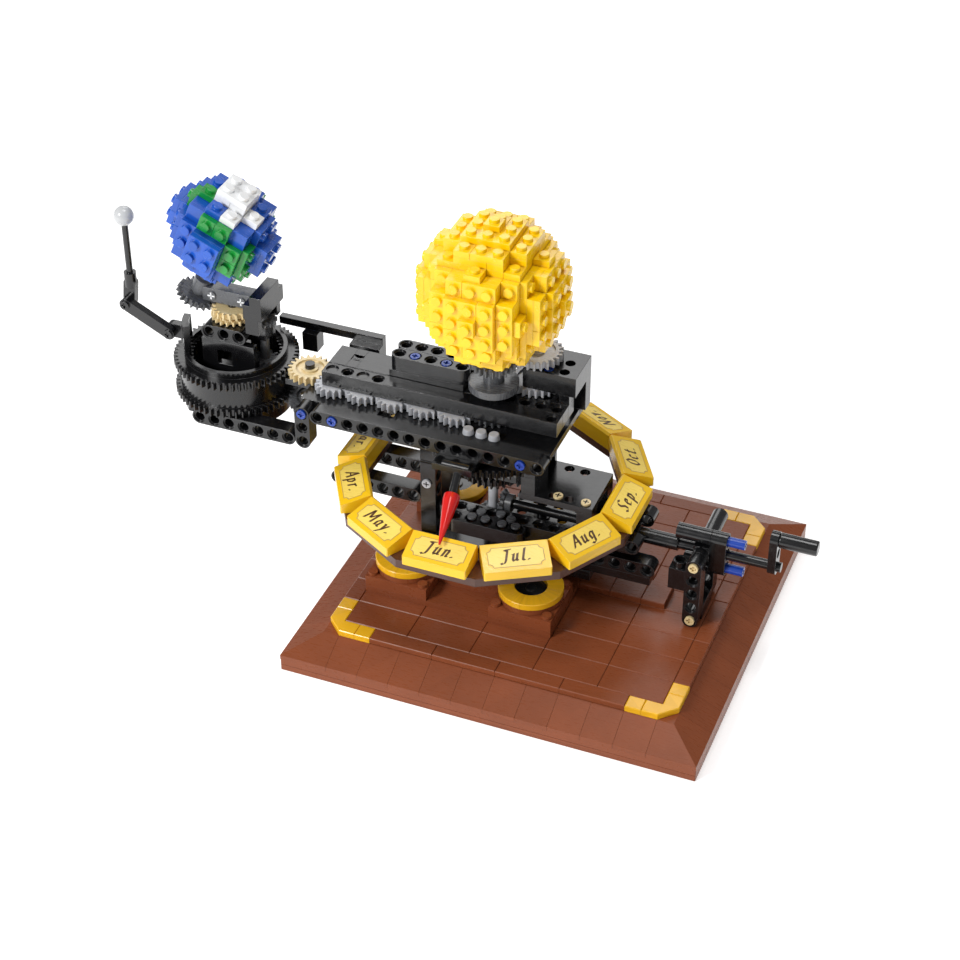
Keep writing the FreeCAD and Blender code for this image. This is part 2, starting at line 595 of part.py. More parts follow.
# ---------------------------------------------------------------- shafts in the tower
def build_drive_shaft():
    """The fast shaft: crank bevel below, Moon gear at arm height, Sun pinion on top."""
    x, y = MAIN
    add("drive_shaft", rod(x, y, FOOT_Z + 0.6, ROD_R, 150.0 - FOOT_Z, Z_AXIS))
    apex = Vec(x, y, CRANK_Z)
    bevel = bevel_teeth(apex, Z_AXIS.negative(), X_AXIS, BEVEL_TEETH, BEVEL_CONE, BEVEL_REACH, 2.6, 0.0)
    bevel = bevel.fuse(rod(x, y, Z_LAY_1 + GEAR_W + 0.1, 4.4, 3.0)).removeSplitter()
    add("drive_bevel_gear", bevel.cut(rod(x, y, 30, ROD_R, 40)))
    add("drive_pinion", gear(8, MAIN, Z_LAY_1, 0.0, bore=ROD_R))
    add("moon_drive_gear", gear(20, MAIN, Z_MOON, 0.0, bore=ROD_R))
    add("sun_drive_pinion", gear(8, MAIN, Z_SUN_DRIVE, 0.0, bore=ROD_R))


def build_lay_shafts():
    wheel = gear(40, LAY_1, Z_LAY_1, mesh_phase(8, 0.0, MAIN, 40, LAY_1), bore=0, addendum=0.8, holes=6)
    small = gear(8, LAY_1, Z_LAY_2, 0.0, bore=0)
    axle = rod(LAY_1[0], LAY_1[1], FOOT_Z + 0.2, ROD_R, 88.6 - FOOT_Z)
    add("first_lay_gears", fuse([wheel, small, axle]))
    wheel = gear(24, LAY_2, Z_LAY_2, mesh_phase(8, 0.0, LAY_1, 24, LAY_2), bore=0)
    small = gear(12, LAY_2, Z_LAY_3, 0.0, bore=0)
    axle = rod(LAY_2[0], LAY_2[1], 57.9, ROD_R, 88.8 - 57.9)
    add("second_lay_gears", fuse([wheel, small, axle]))


# ---------------------------------------------------------------- the long arm
MOON_IDLERS = [(MAIN[0] - (2 * k + 2) * STUD, -STUD) for k in range(5)]
TAN_IDLER = (MAIN[0] - 12 * STUD, 0.0)
SEASON_IDLERS = [((MAIN[0] - 44.0, 0.0), 28), ((MAIN[0] - 68.0, 0.0), 20), ((MAIN[0] - 92.0, 0.0), 28)]
SUN_LAY = (MAIN[0] + 22 * math.cos(math.pi / 4), MAIN[1] + 22 * math.sin(math.pi / 4))
# Sun idler of 12 teeth: 10 from the drive pinion and 18 from the lay gear, on the far side
_ALONG = (10 ** 2 - 18 ** 2 + 22 ** 2) / (2 * 22)
_ACROSS = math.sqrt(10 ** 2 - _ALONG ** 2)
SUN_IDLER = (MAIN[0] + (_ALONG - _ACROSS) * math.sqrt(0.5), MAIN[1] + (_ALONG + _ACROSS) * math.sqrt(0.5))
ARM_LEFT, ARM_RIGHT = MAIN[0] - 92.0, MAIN[0] + 36.0
FLOOR_LOW, FLOOR_HIGH = 101.4, 104.6


def build_arm():
    x, y = MAIN
    half = BEAM_W / 2
    floor = box(ARM_LEFT, ARM_RIGHT, -20.0, 20.0, FLOOR_LOW, FLOOR_HIGH)
    nose = box(ARM_LEFT - 14.0, ARM_LEFT, -7.8, 7.8, FLOOR_LOW, FLOOR_HIGH)
    slot = box(-84, -76, -20, -12.2, FLOOR_LOW, FLOOR_HIGH)
    floor = fuse([floor, nose]).cut(slot)
    holes = [rod(x, y, FLOOR_LOW, 6.0, 4)]
    holes += [rod(cx, cy, FLOOR_LOW, ROD_R, 4) for cx, cy in MOON_IDLERS]
    holes += [rod(cx, cy, FLOOR_LOW, ROD_R, 1.6) for (cx, cy), teeth in SEASON_IDLERS]
    holes.append(rod(TAN_IDLER[0], TAN_IDLER[1], FLOOR_LOW + 1.6, ROD_R, 2))
    add("arm_floor", floor.cut(Part.makeCompound(holes)))

    sides, links, lower = [], [], []
    count = 15
    for side in (-1, 1):
        sides.append(beam((-112.0, side * 24.0, Z_BEAM), count, (1, 0, 0), (0, 1, 0)))
        links.append(beam((-120.0, side * 24.0, Z_BEAM - 2 * STUD), 3, (0, 0, 1), (0, 1, 0)))
        lower.append(beam((-176.0, side * 24.0, Z_BEAM - 2 * STUD), 7, (1, 0, 0), (0, 1, 0)))
    add("arm_side_beams", *sides)
    add("arm_end_links", *links)
    add("lower_beams", *lower)

    race = tube(x, y, 93.5, 24.0, 6.0, FLOOR_LOW - 93.5).common(box(x - 25, x + 25, -20.05, 20.05, 93, 102))
    wheel = gear(28, MAIN, Z_LAY_3, mesh_phase(12, 0.0, LAY_2, 28, MAIN), bore=BORE_R)
    sleeve = tube(x, y, Z_LAY_3 + GEAR_W - 1.0, 6.0, BORE_R, FLOOR_HIGH - Z_LAY_3 - GEAR_W + 1.0)
    add("arm_race", race)
    add("arm_drive_gear", fuse([wheel, sleeve]))

    deck = []
    for row in (-1, 0, 1):
        bar = box(-116.0, 4.0, row * STUD - half, row * STUD + half, Z_DECK, Z_DECK_TOP)
        cuts = []
        for k in range(15):
            hole_x = -112.0 + k * STUD
            radius = ROD_R if row == -1 and (hole_x, -STUD) in MOON_IDLERS else BORE_R
            cuts.append(rod(hole_x, row * STUD, Z_DECK, radius, BEAM_W))
            cuts.append(rod(hole_x, row * STUD, Z_DECK_TOP - 0.8, 3.1, 0.8))
        deck.append(bar.cut(Part.makeCompound(cuts)))
    add("arm_deck", *deck)

    pins = [rod(cx, cy, FLOOR_LOW, ROD_R, Z_DECK_TOP - 0.9 - FLOOR_LOW) for cx, cy in MOON_IDLERS]
    pins.append(rod(TAN_IDLER[0], TAN_IDLER[1], FLOOR_LOW + 1.6, ROD_R, 111.2 - FLOOR_LOW - 1.6))
    pins += [rod(centre[0], centre[1], 88.8, ROD_R, FLOOR_LOW + 1.6 - 88.8) for centre, teeth in SEASON_IDLERS]
    pins.append(rod(SUN_IDLER[0], SUN_IDLER[1], Z_DECK_TOP, ROD_R, Z_SUN_DRIVE + GEAR_W - Z_DECK_TOP))
    add("idler_pins", *pins)


def build_arm_top():
    """The long raised block, the block behind the Sun and the rear rail."""
    half = BEAM_W / 2
    lower = box(-84, -46, -half, half, Z_DECK_TOP, 121.0)
    upper = beam((-80.0, 0, Z_STAGE), 5, (1, 0, 0), (0, 0, 1))
    rear = beam((-80.0, STUD, Z_STAGE), 5, (1, 0, 0), (0, 0, 1))
    rear_low = box(-84, -46, STUD - half, STUD + half, Z_DECK_TOP, 121.0)
    add("arm_raised_block", lower, upper, rear_low, rear)

    low = Z_SUN_DRIVE + GEAR_W + 0.3
    block = box(-19.4, 7.0, 5.0, 27.0, low, 132.0)
    leg_front = box(-1.0, 4.0, 5.0, 11.9, Z_DECK_TOP, low)
    leg_rear = box(-1.0, 7.0, 20.1, 27.0, Z_BEAM + half, low)
    holes = [rod(SUN_LAY[0], SUN_LAY[1], low, BORE_R, 12)]
    holes += [rod(px, py, 126.0, BORE_R, 6) for px, py in ((-8.0, 9.0), (0.0, 9.0), (0.0, 17.0))]
    add("sun_gear_block", block.cut(Part.makeCompound(holes)), leg_front, leg_rear)

    rail = box(-156.0, -100.0, 24.6, 28.4, 113.0, 117.0)
    post = box(-142.0, -134.0, 21.0, 28.4, 103.0, 113.0)
    bracket = box(-116.0, -100.0, 20.1, 28.4, Z_BEAM + half, 113.0)
    add("rear_rail", rail, post, bracket)


def build_pointer():
    shelf = box(-49.0, -29.0, -36.0, -21.0, 93.6, Z_BEAM - BEAM_W / 2)
    start = Vec(-36.5, -33.0, 95.0)
    neck_end = Vec(-36.0, -43.0, 86.0)
    tip = Vec(-32.2, -68.0, 76.8)
    neck = neck_end - start
    stem = Part.makeCylinder(2.0, neck.Length, start, neck)
    bar = rod(-44.5, start.y, start.z + 1.0, ROD_R, 13.5, X_AXIS)
    add("pointer_bracket", fuse([shelf, bar, stem]))
    run = tip - neck_end
    unit = Vec(run).normalize()
    cone = Part.makeCone(3.9, 0.5, run.Length - 3.0, neck_end + unit * 3.0, run)
    collar = Part.makeCylinder(3.9, 3.0, neck_end, run)
    cone = fuse([cone, collar])
    add("pointer_cone", cone.cut(PARTS["pointer_bracket"]))


def build_arm_pins():
    pins = []
    for x, z in ((-120.0, Z_BEAM), (-104.0, Z_BEAM), (-8.0, Z_BEAM)):
        pins.append(cross_pin(x, -20.02, z, 8.5, Y_AXIS.negative()))
    for x in (-72.0, -56.0):
        pins.append(cross_pin(x, 0, Z_STAGE - 3.9, 8.0, Z_AXIS))
    pins.append(cross_pin(-8.0, 9.0, 126.0, 6.2, Z_AXIS))
    add("blue_arm_pins", *pins)


def build_arm_gears():
    phase = 0.0
    centre, teeth = MAIN, 20
    for k, spot in enumerate(MOON_IDLERS):
        phase = mesh_phase(teeth, phase, centre, 16, spot)
        add("moon_idler_gear_%d" % (k + 1), gear(16, spot, Z_MOON, phase))
        centre, teeth = spot, 16
    tan_phase = mesh_phase(16, phase, centre, 20, TAN_IDLER)
    add("moon_transfer_gear", gear(20, TAN_IDLER, Z_MOON, tan_phase))
    ring_phase = mesh_phase(20, tan_phase, TAN_IDLER, 60, EARTH)

    phase, centre, teeth = 0.0, MAIN, 60
    for k, (spot, count) in enumerate(SEASON_IDLERS):
        phase = mesh_phase(teeth, phase, centre, count, spot)
        add("season_idler_gear_%d" % (k + 1), gear(count, spot, Z_SEASON, phase, holes=4 if count > 20 else 0))
        centre, teeth = spot, count
    season_phase = mesh_phase(teeth, phase, centre, 60, EARTH)

    phase = mesh_phase(8, 0.0, MAIN, 12, SUN_IDLER)
    add("sun_idler_gear", gear(12, SUN_IDLER, Z_SUN_DRIVE, phase))
    phase = mesh_phase(12, phase, SUN_IDLER, 24, SUN_LAY)
    low = gear(24, SUN_LAY, Z_SUN_DRIVE, phase, bore=0)
    high = gear(24, SUN_LAY, Z_SUN_GEAR, 0.0, bore=0)
    axle = rod(SUN_LAY[0], SUN_LAY[1], Z_SUN_DRIVE, ROD_R, Z_SUN_GEAR + GEAR_W + 1.2 - Z_SUN_DRIVE)
    add("sun_lay_gears", fuse([low, high, axle]))
    return ring_phase, season_phase


def build_sun():
    x, y = MAIN
    phase = mesh_phase(24, 0.0, SUN_LAY, 20, MAIN)
    wheel = gear(20, MAIN, Z_SUN_GEAR, phase)
    low = Z_SUN_DRIVE + GEAR_W + 0.4
    disc = tube(x, y, low, 12.0, BORE_R, GEAR_W)
    sleeve = tube(x, y, low, 5.0, BORE_R, SUN_Z - SUN_R - 0.05 - low)
    add("sun_hub", fuse([wheel, disc, sleeve]))
    sun = ball(SUN_R, 2.5 * STUD, 38.0, Vec(x, y, SUN_Z))
    add("sun_ball", sun.cut(rod(x, y, SUN_Z - SUN_R - 3, BORE_R + 0.2, 20)))


# ---------------------------------------------------------------- the Earth unit
STAGE_LOW, STAGE_HIGH = 121.1, 128.9   # lower and upper faces of the Earth stage's beams
LAY_X = EARTH[0] + 2 * STUD            # shaft that carries the Moon ring's turning up to the Earth
TILT_AXIS = Vec(math.sin(TILT), 0, math.cos(TILT))
EARTH_APEX = Vec(EARTH[0], EARTH[1], EARTH_APEX_Z)


def build_season_bearing():
    x, y = EARTH
    disc = rod(x, y, 81.1, 27.0, 7.8).common(box(x - 30, x + 30, -20.05, 20.05, 80, 90))
    add("season_bearing", disc.cut(rod(x, y, 81, 8.0, 8)))


def build_season(phase):
    x, y = EARTH
    wheel = gear(60, EARTH, Z_SEASON, phase, holes=8)
    boss = rod(x, y, 81.2, 7.92, Z_SEASON - 81.2 + 0.5)
    drum = tube(x, y, Z_SEASON + GEAR_W - 0.5, 28.0, 22.6, 104.5 - Z_SEASON - GEAR_W + 0.5)
    floor = box(x - 16.0, x + 21.5, -12.0, 12.0, Z_SEASON + GEAR_W - 0.5, 96.0)
    body = fuse([wheel, boss, floor]).cut(rod(LAY_X, 0, 94.0, BORE_R, 12))
    add("season_wheel", body, drum.cut(body))

    walls = []
    for side in (-1, 1):
        y0 = min(side * 8.0, side * 12.0)
        low = box(x - 12.0, x + 16.0, y0, y0 + 4.0, 96.0, STAGE_LOW)
        slot = box(x - 4.0, x + 4.0, y0 - 1, y0 + 5, 108.0, 116.0)
        walls.append(low.cut(slot))
    add("stage_walls", *walls)

    rails = []
    for side in (-1, 1):
        bar = beam((x - 8.0, side * STUD, Z_STAGE), 3, (1, 0, 0), (0, 1, 0))
        rails.append(bar)
    bridge = box(x - 4.0, x + 4.0, -4.05, 4.05, STAGE_LOW, STAGE_HIGH)
    post = rod(x, y, STAGE_HIGH - 0.5, ROD_R, 137.2 - STAGE_HIGH + 0.5)
    block = box(x + 12.1, x + 19.0, -4.05, 4.05, STAGE_LOW, STAGE_HIGH)
    block = block.cut(rod(LAY_X, 0, STAGE_LOW, BORE_R, 8))
    add("stage_beams", fuse(rails + [bridge, block, post]))

    sides = []
    for side in (-1, 1):
        y0 = min(side * 8.2, side * 12.0)
        sides.append(box(x + 12.5, x + 19.5, y0, y0 + 3.8, STAGE_HIGH, 137.2))
    cross = box(x + 11.8, x + 21.5, -12.0, 12.0, 137.2, 145.0)
    wall = box(x + 15.5, x + 21.5, -12.0, 8.0, 145.0, 150.0)
    head = fuse(sides + [cross, wall])
    bar = box(x - 14.0, x + 12.0, -4.0, 4.0, 137.4, 144.8)
    sleeve_start = EARTH_APEX - TILT_AXIS * 43.8
    sleeve = Part.makeCylinder(4.6, 7.8, sleeve_start, TILT_AXIS)
    bore = Part.makeCylinder(BORE_R, 30, EARTH_APEX - TILT_AXIS * 60, TILT_AXIS)
    nub = [rod(x + off, -4.6, 141.0, ROD_R, 2.0, Y_AXIS) for off in (-9.0, 7.0)]
    bar = fuse([bar, sleeve] + nub).cut(bore)
    add("earth_axle_arm", bar)
    add("earth_head_bracket", head.cut(bar))


def build_earth_train():
    x, y = EARTH
    spot = (LAY_X, 0.0)
    low = gear(12, spot, Z_MOON, 0.0, bore=0)
    high = gear(12, spot, Z_EARTH_GEAR, 0.0, bore=0, width=2.2)
    axle = rod(LAY_X, 0, 94.2, ROD_R, 136.0 - 94.2)
    add("earth_lay_gears", fuse([low, high, axle]))

    idle_phase = mesh_phase(12, 0.0, spot, 20, EARTH)
    flat = gear(20, EARTH, Z_EARTH_GEAR, idle_phase, bore=BORE_R, width=2.2)
    neck = tube(x, y, Z_EARTH_GEAR + 2.0, 8.0, BORE_R, 3.2)
    cone = TILT / 2
    reach = 10.0 / math.sin(cone)
    crown = bevel_teeth(EARTH_APEX, Z_AXIS.negative(), X_AXIS.negative(), 20, cone, reach, 2.9, 0.0)
    add("earth_idler_gear", fuse([flat, neck, crown]).cut(rod(x, y, 125, BORE_R, 15)))

    down = TILT_AXIS.negative()
    zero = (X_AXIS.negative() - down * down.dot(X_AXIS.negative()))
    crown = bevel_teeth(EARTH_APEX, down, zero, 20, cone, reach, 2.9, math.pi / 20)
    axle = Part.makeCylinder(ROD_R, 53.0 - 27.0, EARTH_APEX + down * 53.0, TILT_AXIS)
    collar = Part.makeCylinder(3.4, 1.5, EARTH_APEX + down * 45.5, TILT_AXIS)
    add("earth_axle", fuse([crown, axle, collar]))


# ---------------------------------------------------------------- the Moon
MOON_ARM_ANGLE = math.radians(204)     # where the Moon's arm leaves its ring
MOON_Y = -12.0                         # plane of the Moon's arm
KNEE_LOW = Vec(-195.0, MOON_Y, 122.6)
KNEE_HIGH = Vec(-217.6, MOON_Y, 134.0)
MOON_AT = Vec(-216.5, MOON_Y, 181.0)


def flat_link(start, end, y_centre, thick, width=6.2):
    """A thin round-ended link in an upright plane, with a pivot hole at each end."""
    run = end - start
    side = Vec(-run.z, 0, run.x).normalize() * (width / 2)
    half = Vec(0, thick / 2, 0)
    corners = [Vec(p.x, y_centre, p.z) - half for p in (start + side, start - side, end - side, end + side)]
    body = Part.Face(Part.makePolygon(corners + corners[:1])).extrude(half * 2)
    ends = [rod(p.x, y_centre - thick / 2, p.z, width / 2, thick, Y_AXIS) for p in (start, end)]
    return fuse([body] + ends)


def build_moon(ring_phase):
    x, y = EARTH
    ring = prism(gear_outline(60, ring_phase, x, y), GEAR_W, Z_MOON)
    space = gear_outline(44, 0.0, x, y, addendum=DEDENDUM, dedendum=ADDENDUM, backlash=-BACKLASH)
    ring = ring.cut(prism(space, GEAR_W, Z_MOON))
    collar = tube(x, y, Z_MOON + GEAR_W - 0.3, 25.4, 23.3, 3.5)
    wedge = prism([(x, y)] + [(x + 40 * math.cos(MOON_ARM_ANGLE + a), y + 40 * math.sin(MOON_ARM_ANGLE + a))
                              for a in (-0.26, 0.26)], 17.9, Z_MOON + GEAR_W + 0.3)
    post = tube(x, y, Z_MOON + GEAR_W + 0.3, 25.4, 22.1, 17.9).common(wedge)
    add("moon_ring", fuse([ring, collar, post]))

    arm = flat_link(Vec(-190.4, MOON_Y, 122.6), KNEE_LOW, MOON_Y, 3.8, 7.6)
    arm = arm.cut(PARTS["moon_ring"])
    link = flat_link(KNEE_LOW, KNEE_HIGH, MOON_Y - 3.9, 3.8)
    elbow = flat_link(KNEE_HIGH, Vec(MOON_AT.x, MOON_Y, 144.0), MOON_Y, 3.8)
    socket = rod(MOON_AT.x, MOON_Y, 142.0, 3.0, 8.0)
    pins = [cross_pin(p.x, MOON_Y + 1.9, p.z, 8.6, Y_AXIS.negative()) for p in (KNEE_LOW, KNEE_HIGH)]
    wand = rod(MOON_AT.x, MOON_Y, 148.0, 1.6, MOON_AT.z - 3.0 - 148.0)
    joined = fuse([arm.Solids[0], link, fuse([elbow, socket])] + pins)
    add("moon_arm", joined)
    add("moon_wand", wand.cut(joined))
    ball_solid = Part.makeSphere(MOON_R, MOON_AT)
    add("moon_ball", ball_solid.cut(rod(MOON_AT.x, MOON_Y, 140.0, 1.6, MOON_AT.z - 3.0 - 140.0)))


# ---------------------------------------------------------------- the Earth
ICE_LATITUDE = 58
# rough continents as ellipses: longitude, latitude, half width, half height in degrees;
# longitude 0 faces the front and +90 faces the Sun
CONTINENTS = [(38, -5, 20, 45), (5, 30, 48, 9), (-78, 38, 20, 26), (170, 20, 40, 30), (70, -45, 25, 15)]
ICE_FIELD = (45, 50, 35, 14)


def cell_region(cell):
    axis, sign, low, u, v = cell
    place = cap_frame(axis, sign, Vec(0, 0, 0))
    spot = place.multVec(Vec(u, v, low + PLATE / 2))
    latitude = math.degrees(math.asin(spot.z / spot.Length))
    longitude = math.degrees(math.atan2(spot.x, -spot.y))

    def inside(lon, lat, wide, high):
        across = (longitude - lon + 180) % 360 - 180
        return (across / wide) ** 2 + ((latitude - lat) / high) ** 2 < 1

    if latitude > ICE_LATITUDE or inside(*ICE_FIELD):
        return "ice"
    return "land" if any(inside(*spot) for spot in CONTINENTS) else "ocean"


def build_earth():
    centre = EARTH_APEX - TILT_AXIS * EARTH_BALL_DROP
    core = 2 * STUD
    regions = {"ocean": [], "land": [], "ice": []}
    every = ball_cells(EARTH_R, core, 28.4)
    for cell in every:
        regions[cell_region(cell)].append(cell)
    bore = Part.makeCylinder(ROD_R, 26.05, EARTH_APEX - TILT_AXIS * 53.0, TILT_AXIS)
    for region, cells in regions.items():
        shapes = ball_solids(cells, set(every), Vec(0, 0, 0), GAP / 4)
        if region == "ocean":
            shapes.append(box(-core, core, -core, core, -core, core))
        solid = fuse(shapes)
        solid.rotate(Vec(0, 0, 0), Y_AXIS, math.degrees(TILT))
        solid.translate(centre)
        add("earth_" + region, solid.cut(bore))


# ---------------------------------------------------------------- put it together
GROUPS = {
    "base_plates": ["base_plates", "core_plates"],
    "tower_frame": ["tower_posts", "lay_shaft_beam", "crank_shaft_bearing", "front_liftarms", "ring_spokes"],
    "crank_bracket": ["crank_bracket", "crank_end_plate", "bracket_tubes", "crank_side_beam"],
    "pedestal_core": ["pedestal_core", "crank_plank_tiles"],
    "crank_shaft": ["crank_shaft", "crank_bushes"],
    "drive_shaft_gears": ["drive_bevel_gear", "drive_pinion", "moon_drive_gear", "sun_drive_pinion"],
    "arm_side_beams": ["arm_side_beams", "arm_end_links", "lower_beams", "rear_rail"],
    "arm_raised_blocks": ["arm_raised_block", "sun_gear_block"],
    "arm_hub": ["arm_race", "arm_drive_gear"],
    "moon_arm": ["moon_arm", "moon_wand"],
}


def main():
    build_base()
    build_top_tiles()
    build_pedestal()
    build_tower()
    build_month_ring()
    build_fixed_turntable()
    build_crank_bracket()
    build_base_pins()
    build_crank()
    build_drive_shaft()
    build_lay_shafts()
    build_arm()
    build_arm_top()
    build_pointer()
    build_arm_pins()
    ring_phase, season_phase = build_arm_gears()
    build_sun()
    build_season_bearing()
    build_season(season_phase)
    build_earth_train()
    build_moon(ring_phase)
    build_earth()
    nodes = dict(PARTS)
    for name, members in GROUPS.items():
        solids = [solid for member in members for solid in nodes.pop(member).Solids]
        nodes[name] = Part.makeCompound(solids)
    os.makedirs("parts", exist_ok=True)
    for name, shape in sorted(nodes.items()):
        shape.exportStep("parts/%s.step" % name)


main()
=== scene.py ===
import json
import math
import random
import bmesh
import bpy
from mathutils import Matrix, Vector


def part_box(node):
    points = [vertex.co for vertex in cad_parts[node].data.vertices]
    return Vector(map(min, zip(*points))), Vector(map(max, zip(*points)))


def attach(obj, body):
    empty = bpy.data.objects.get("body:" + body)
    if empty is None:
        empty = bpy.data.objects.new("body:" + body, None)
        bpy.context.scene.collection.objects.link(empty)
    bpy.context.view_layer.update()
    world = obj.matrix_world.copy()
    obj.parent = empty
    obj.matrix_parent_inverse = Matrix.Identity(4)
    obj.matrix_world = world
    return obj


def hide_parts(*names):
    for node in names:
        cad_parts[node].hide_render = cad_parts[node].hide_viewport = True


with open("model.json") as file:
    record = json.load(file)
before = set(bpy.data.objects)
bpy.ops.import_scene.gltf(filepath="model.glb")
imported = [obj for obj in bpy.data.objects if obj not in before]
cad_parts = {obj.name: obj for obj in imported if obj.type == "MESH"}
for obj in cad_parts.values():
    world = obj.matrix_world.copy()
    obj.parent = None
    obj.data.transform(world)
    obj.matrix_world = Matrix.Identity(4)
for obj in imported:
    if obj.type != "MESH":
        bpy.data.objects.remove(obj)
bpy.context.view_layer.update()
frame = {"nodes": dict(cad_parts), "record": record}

MM = 0.001
MAIN = Vector((-32, 0, 0))          # axis of the Sun and the long arm, in millimetres
EARTH = Vector((-168, 0, 0))        # axis of the Earth unit
TILT = math.radians(23.4)
TILT_AXIS = Vector((math.sin(TILT), 0, math.cos(TILT)))
STUD, PLATE = 8.0, 3.2
STUD_R, STUD_H = 2.4, 1.7
PIN_R = 2.4                         # round axles and pins
SEAM = 0.06                         # half the gap between neighbouring plates of a ball

SUN_CENTRE = Vector((MAIN.x, MAIN.y, 175.0))
SUN_R, SUN_CORE, SUN_REACH = 36.0, 2.5 * STUD, 38.0
EARTH_APEX = Vector((EARTH.x, EARTH.y, 180.7))  # where the tilted axle crosses the unit's axis
EARTH_DROP = 4.03                   # from there down the axle to the ball's centre
EARTH_R, EARTH_CORE, EARTH_REACH = 25.6, 2 * STUD, 28.4

DECK_TOP = 117.0                    # top face of the arm's upper deck
COVER = 0.35                        # thickness of the smooth plates laid on it
FLOOR_TOP = 104.6                   # top face of the arm's floor
SHELF_TOP = 75.0                    # top face of the tower's lower plate
POST_Y = 11.5                       # rows of the tower's posts
LIFTARM_TOP = 55.8                  # top face of the liftarms in front of the tower
rng = random.Random(7)


# ---------------------------------------------------------------- camera, floor and lights
def make_camera():
    data = bpy.data.cameras.new("camera")
    data.lens, data.sensor_width = 83.48, 36.0
    data.clip_start, data.clip_end = 0.05, 20.0
    cam = bpy.data.objects.new("camera", data)
    bpy.context.scene.collection.objects.link(cam)
    yaw, pitch = math.radians(21.62), math.radians(36.83)
    right = Vector((math.cos(yaw), math.sin(yaw), 0))
    back = Vector((math.sin(yaw) * math.cos(pitch), -math.cos(yaw) * math.cos(pitch), math.sin(pitch)))
    up = back.cross(right)
    turn = Matrix((right, up, back)).transposed().to_4x4()
    cam.matrix_world = Matrix.Translation(Vector((0.28090, -0.80713, 0.71486))) @ turn
    bpy.context.scene.camera = cam


def area_light(name, place, target, size, power, colour=(1, 1, 1)):
    data = bpy.data.lights.new(name, "AREA")
    data.shape, data.size, data.energy, data.color = "DISK", size, power, colour
    lamp = bpy.data.objects.new(name, data)
    lamp.location = place
    lamp.rotation_euler = (Vector(target) - Vector(place)).to_track_quat("-Z", "Y").to_euler()
    bpy.context.scene.collection.objects.link(lamp)


def make_stage():
    world = bpy.data.worlds.new("studio")
    world.use_nodes = True
    world.node_tree.nodes["Background"].inputs[0].default_value = (1, 1, 1, 1)
    world.node_tree.nodes["Background"].inputs[1].default_value = 0.3
    bpy.context.scene.world = world
    bpy.context.scene.view_settings.view_transform = "Standard"
    area_light("key", (-0.75, -1.1, 0.95), (-0.05, 0, 0.08), 0.45, 17)
    area_light("top", (0.0, 0.1, 1.5), (-0.05, 0, 0.1), 0.6, 6)
    area_light("back_softbox", (-0.5, 1.15, 0.95), (-0.08, 0, 0.1), 0.85, 4)

    bpy.ops.mesh.primitive_grid_add(x_subdivisions=2, y_subdivisions=2, size=14, location=(0, 0, -0.0002))
    floor = bpy.context.object
    floor.name = "floor"
    floor.data.materials.append(plain_floor())


def plain_floor():
    mat = bpy.data.materials.new("floor_white")
    mat.use_nodes = True
    tree = mat.node_tree
    shader = tree.nodes["Principled BSDF"]
    noise = tree.nodes.new("ShaderNodeTexNoise")
    noise.inputs["Scale"].default_value = 3.0
    ramp = tree.nodes.new("ShaderNodeMapRange")
    ramp.inputs["To Min"].default_value = 0.93
    ramp.inputs["To Max"].default_value = 0.95
    tree.links.new(noise.outputs["Fac"], ramp.inputs["Value"])
    tree.links.new(ramp.outputs["Result"], shader.inputs["Base Color"])
    shader.inputs["Roughness"].default_value = 0.9
    shader.inputs["Emission Color"].default_value = (1, 1, 1, 1)
    shader.inputs["Emission Strength"].default_value = 0.5
    shader.inputs["Specular IOR Level"].default_value = 0.1
    return mat


